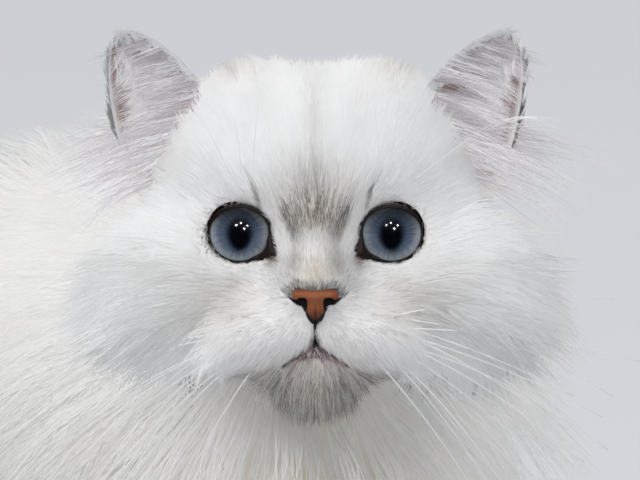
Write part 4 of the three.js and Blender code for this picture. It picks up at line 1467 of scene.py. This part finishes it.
FULL = {"members": 9, "spread": 4.5, "pinch": 0.6, "stray": 0.1}
RUFF = Style(neck_lie, 78, 46, 0.6, body_colour, droop=0.12, **FULL)
BIB = Style(chest_lie, 66, 18, 0.6, body_colour, droop=0.15, **FULL)
BODY = Style(torso_lie, 84, 22, 0.85, body_colour, own_shade=0.25, spread=6, pinch=0.5, droop=0.12, stray=0.1)
TAIL = Style(tail_lie, 62, tail_height, 1.0, body_colour, members=12, spread=4, droop=0.08)
coat("ruff_coat", NECK_SURFACE, 13000, RUFF, 31, out_of_head_and_torso)
coat("bib_coat", CHEST_SURFACE, 10000, BIB, 32, out_of_head_and_torso)
coat("body_coat", TORSO_SURFACE, 18000, BODY, 33, not_in(CHEST))
for side, name in SIDES.items():
    thigh_lie, leg_lie = one_lie(side * 0.1, 0.75, -0.7), one_lie(side * 0.5, 0.7, -0.6)
    paw_lie = one_lie(0.1 * side, -1.0, -0.45)
    THIGH = Style(thigh_lie, 56, 18, 1.1, body_colour, members=10, spread=5, droop=0.15)
    LEG = Style(leg_lie, 36, 13, 0.9, body_colour, members=9, spread=3.5, droop=0.15)
    PAW = Style(paw_lie, 11, 2.6, 0.55, body_colour, members=7, spread=1.8, droop=0.05)
    coat("thigh_coat_" + name, THIGHS[side], 3200, THIGH, 41 + side, not_in(TORSO))
    coat("foreleg_coat_" + name, FORELEGS[side], 2500, LEG, 44 + side, not_in(TORSO))
    coat("hind_foot_coat_" + name, FEET[side], 2300, PAW, 47 + side, not_in(thigh(side)))
    coat("fore_paw_coat_" + name, PAWS[side], 2300, PAW, 50 + side, not_in(foreleg(side)))
coat("tail_coat", TAIL_SURFACE, 5500, TAIL, 55, tail_weight)


# Whiskers and brow hairs.
HAIR_RINGS = 15
HAIR_AROUND = 5


def hair(side, x, z, tilt, sweep, length, sag):
    """A hair's root, way, length and sag, from where it roots and how it leans seen from the front."""
    root = np.array([x, 0.0, z])
    root[1] = face_y(root[:1], root[2:])[0] + 0.4
    angle = math.radians(tilt)
    way = mirrored(np.array([math.cos(angle), sweep, math.sin(angle)]), side)
    return from_head(mirrored(root, side)), unit(way @ HEAD_AXES.T), length, sag


def hairs(name, made_of, radius, colour):
    """A piece of fine tapered tubes."""
    t = np.linspace(0, 1, HAIR_RINGS)
    taper = radius * np.maximum(1 - t, 0.2) ** 0.6
    around = np.tile(np.arange(HAIR_AROUND) / HAIR_AROUND, HAIR_RINGS)
    strip = PATCH * (np.stack([around, np.repeat(t, HAIR_AROUND)], axis=1) - 0.5)
    strip = np.vstack([strip, strip[:1], strip[-1:]])
    points, faces, flat = [], [], []
    for root, way, length, sag in made_of:
        path = root + np.outer(t * length, way) + np.outer(sag * t**2, DOWN)
        tangent = unit(np.gradient(path, axis=0))
        side = unit(np.cross(tangent, [0.1, 0.2, 1.0]))
        rings = rings_round(path, taper, side, np.cross(side, tangent), circle(HAIR_AROUND))
        tube = loft(rings, path[0])
        faces += [f + len(points) * len(tube.points) for f in tube.faces]
        points.append(tube.points)
        flat.append(HEAD_SURFACE.unwrapped(root[None]) + strip)
    made = mesh_object(name, placed(np.vstack(points)), faces)
    set_unwrap(made, np.vstack(flat)[np.concatenate([f.ravel() for f in faces])])
    set_colours(made, colour)
    dress(made, COAT)


def whiskers():
    random = np.random.default_rng(71)
    for side in SIDES:
        for row in range(3):
            for column in range(4):
                x = 12 + 3.4 * column + random.uniform(-0.6, 0.6)
                z = -24.0 - 3.4 * row + random.uniform(-0.6, 0.6)
                tilt = 6 - 13 * row - 9 * (3 - column) + random.uniform(-5, 5)
                sweep = 0.35 + 0.12 * column + (0.22 if side < 0 else 0)
                length = 56 + 12 * column + random.uniform(-6, 12)
                yield hair(side, x, z, tilt, sweep, length, random.uniform(8, 22))


def brow_hairs():
    random = np.random.default_rng(72)
    for side in SIDES:
        for number in range(5):
            z = 13.5 + random.uniform(-1, 1.5)
            tilt = 100 - 15 * number + random.uniform(-6, 6)
            length = random.uniform(22, 36)
            yield hair(side, 19 + 2.2 * number, z, tilt, -0.15, length, random.uniform(2, 6))


hairs("whiskers", whiskers(), 0.24, WHISKER_WHITE)
hairs("brow_hairs", brow_hairs(), 0.14, EAR_WHITE)


# The studio: a pale floor that fills the view, soft light, and small lights for the eyes.
FLOOR_METRES = 500.0
FLOOR_POINTS = 41
CAMERA_PLACE = (1.305, -500, -2.03)
CAMERA_LENS = 96.98
OVERHEAD = (-0.22, -0.44, 0.9)
GLINTS = ((10, 315), (-125, 240), (215, 235), (105, 125))
GLINT_FRONT = -440


def floor():
    x, y = np.meshgrid(*[np.linspace(-FLOOR_METRES, FLOOR_METRES, FLOOR_POINTS)] * 2)
    points = ways(x, y, 0.0).reshape(-1, 3)
    made = mesh_object("floor", points, [grid_quads(FLOOR_POINTS, FLOOR_POINTS)])
    material, nodes, links, surface = shader("floor", {"Roughness": 0.8})
    noise = add_node(nodes, "TexNoise", {"Scale": 2})
    ramp = nodes.new("ShaderNodeValToRGB")
    for element, tint in zip(ramp.color_ramp.elements, FLOOR_TINTS):
        element.color = tint
    join(links, (noise, "Fac", ramp, "Fac"), (ramp, "Color", surface, "Base Color"))
    made.data.materials.append(material)
    made.visible_glossy = False


def head_place(q):
    return Vector(placed(from_head(np.array(q, float))))


def aimed(name, light, way, track):
    made = add_object(name, light)
    made.rotation_mode = "QUATERNION"
    made.rotation_quaternion = way.to_track_quat(track, "Y")
    return made


def lamp(name, q, size, power):
    """A small lamp that shows only in gloss, as on the eyes."""
    light = bpy.data.lights.new(name, "AREA")
    light.shape = "DISK"
    light.size = size
    light.energy = power
    start = head_place(q)
    made = aimed(name, light, head_place((0, 0, 0)) - start, "-Z")
    made.location = start
    made.visible_diffuse = False


def sun(name, way, strength, spread):
    """Soft light that the floor gets as evenly as the cat. way points to where it comes from."""
    light = bpy.data.lights.new(name, "SUN")
    light.energy = strength
    light.angle = math.radians(spread)
    made = aimed(name, light, Vector(np.array(way) @ HEAD_AXES.T), "Z")
    made.visible_glossy = False


def camera():
    data = bpy.data.cameras.new("camera")
    data.sensor_width = 36
    data.lens = CAMERA_LENS
    data.clip_start, data.clip_end = 0.02, 4 * FLOOR_METRES
    made = add_object("camera", data)
    axes = np.stack([HEAD_AXES[:, 0], HEAD_AXES[:, 2], -HEAD_AXES[:, 1]], axis=1)
    made.matrix_world = Matrix.Translation(head_place(CAMERA_PLACE)) @ Matrix(axes.tolist()).to_4x4()
    bpy.context.scene.camera = made


def world():
    made = bpy.data.worlds.new("studio")
    made.use_nodes = True
    settle(made.node_tree.nodes["Background"], {"Color": WORLD_TINT, "Strength": 0.47})
    made.cycles_visibility.glossy = False
    bpy.context.scene.world = made


floor()
camera()
world()
sun("overhead", OVERHEAD, 2.05, 60)
for number, (x, z) in enumerate(GLINTS):
    lamp(f"glint_{number}", (x, GLINT_FRONT, z), 0.02, 0.9)
bpy.context.scene.view_settings.view_transform = "Standard"
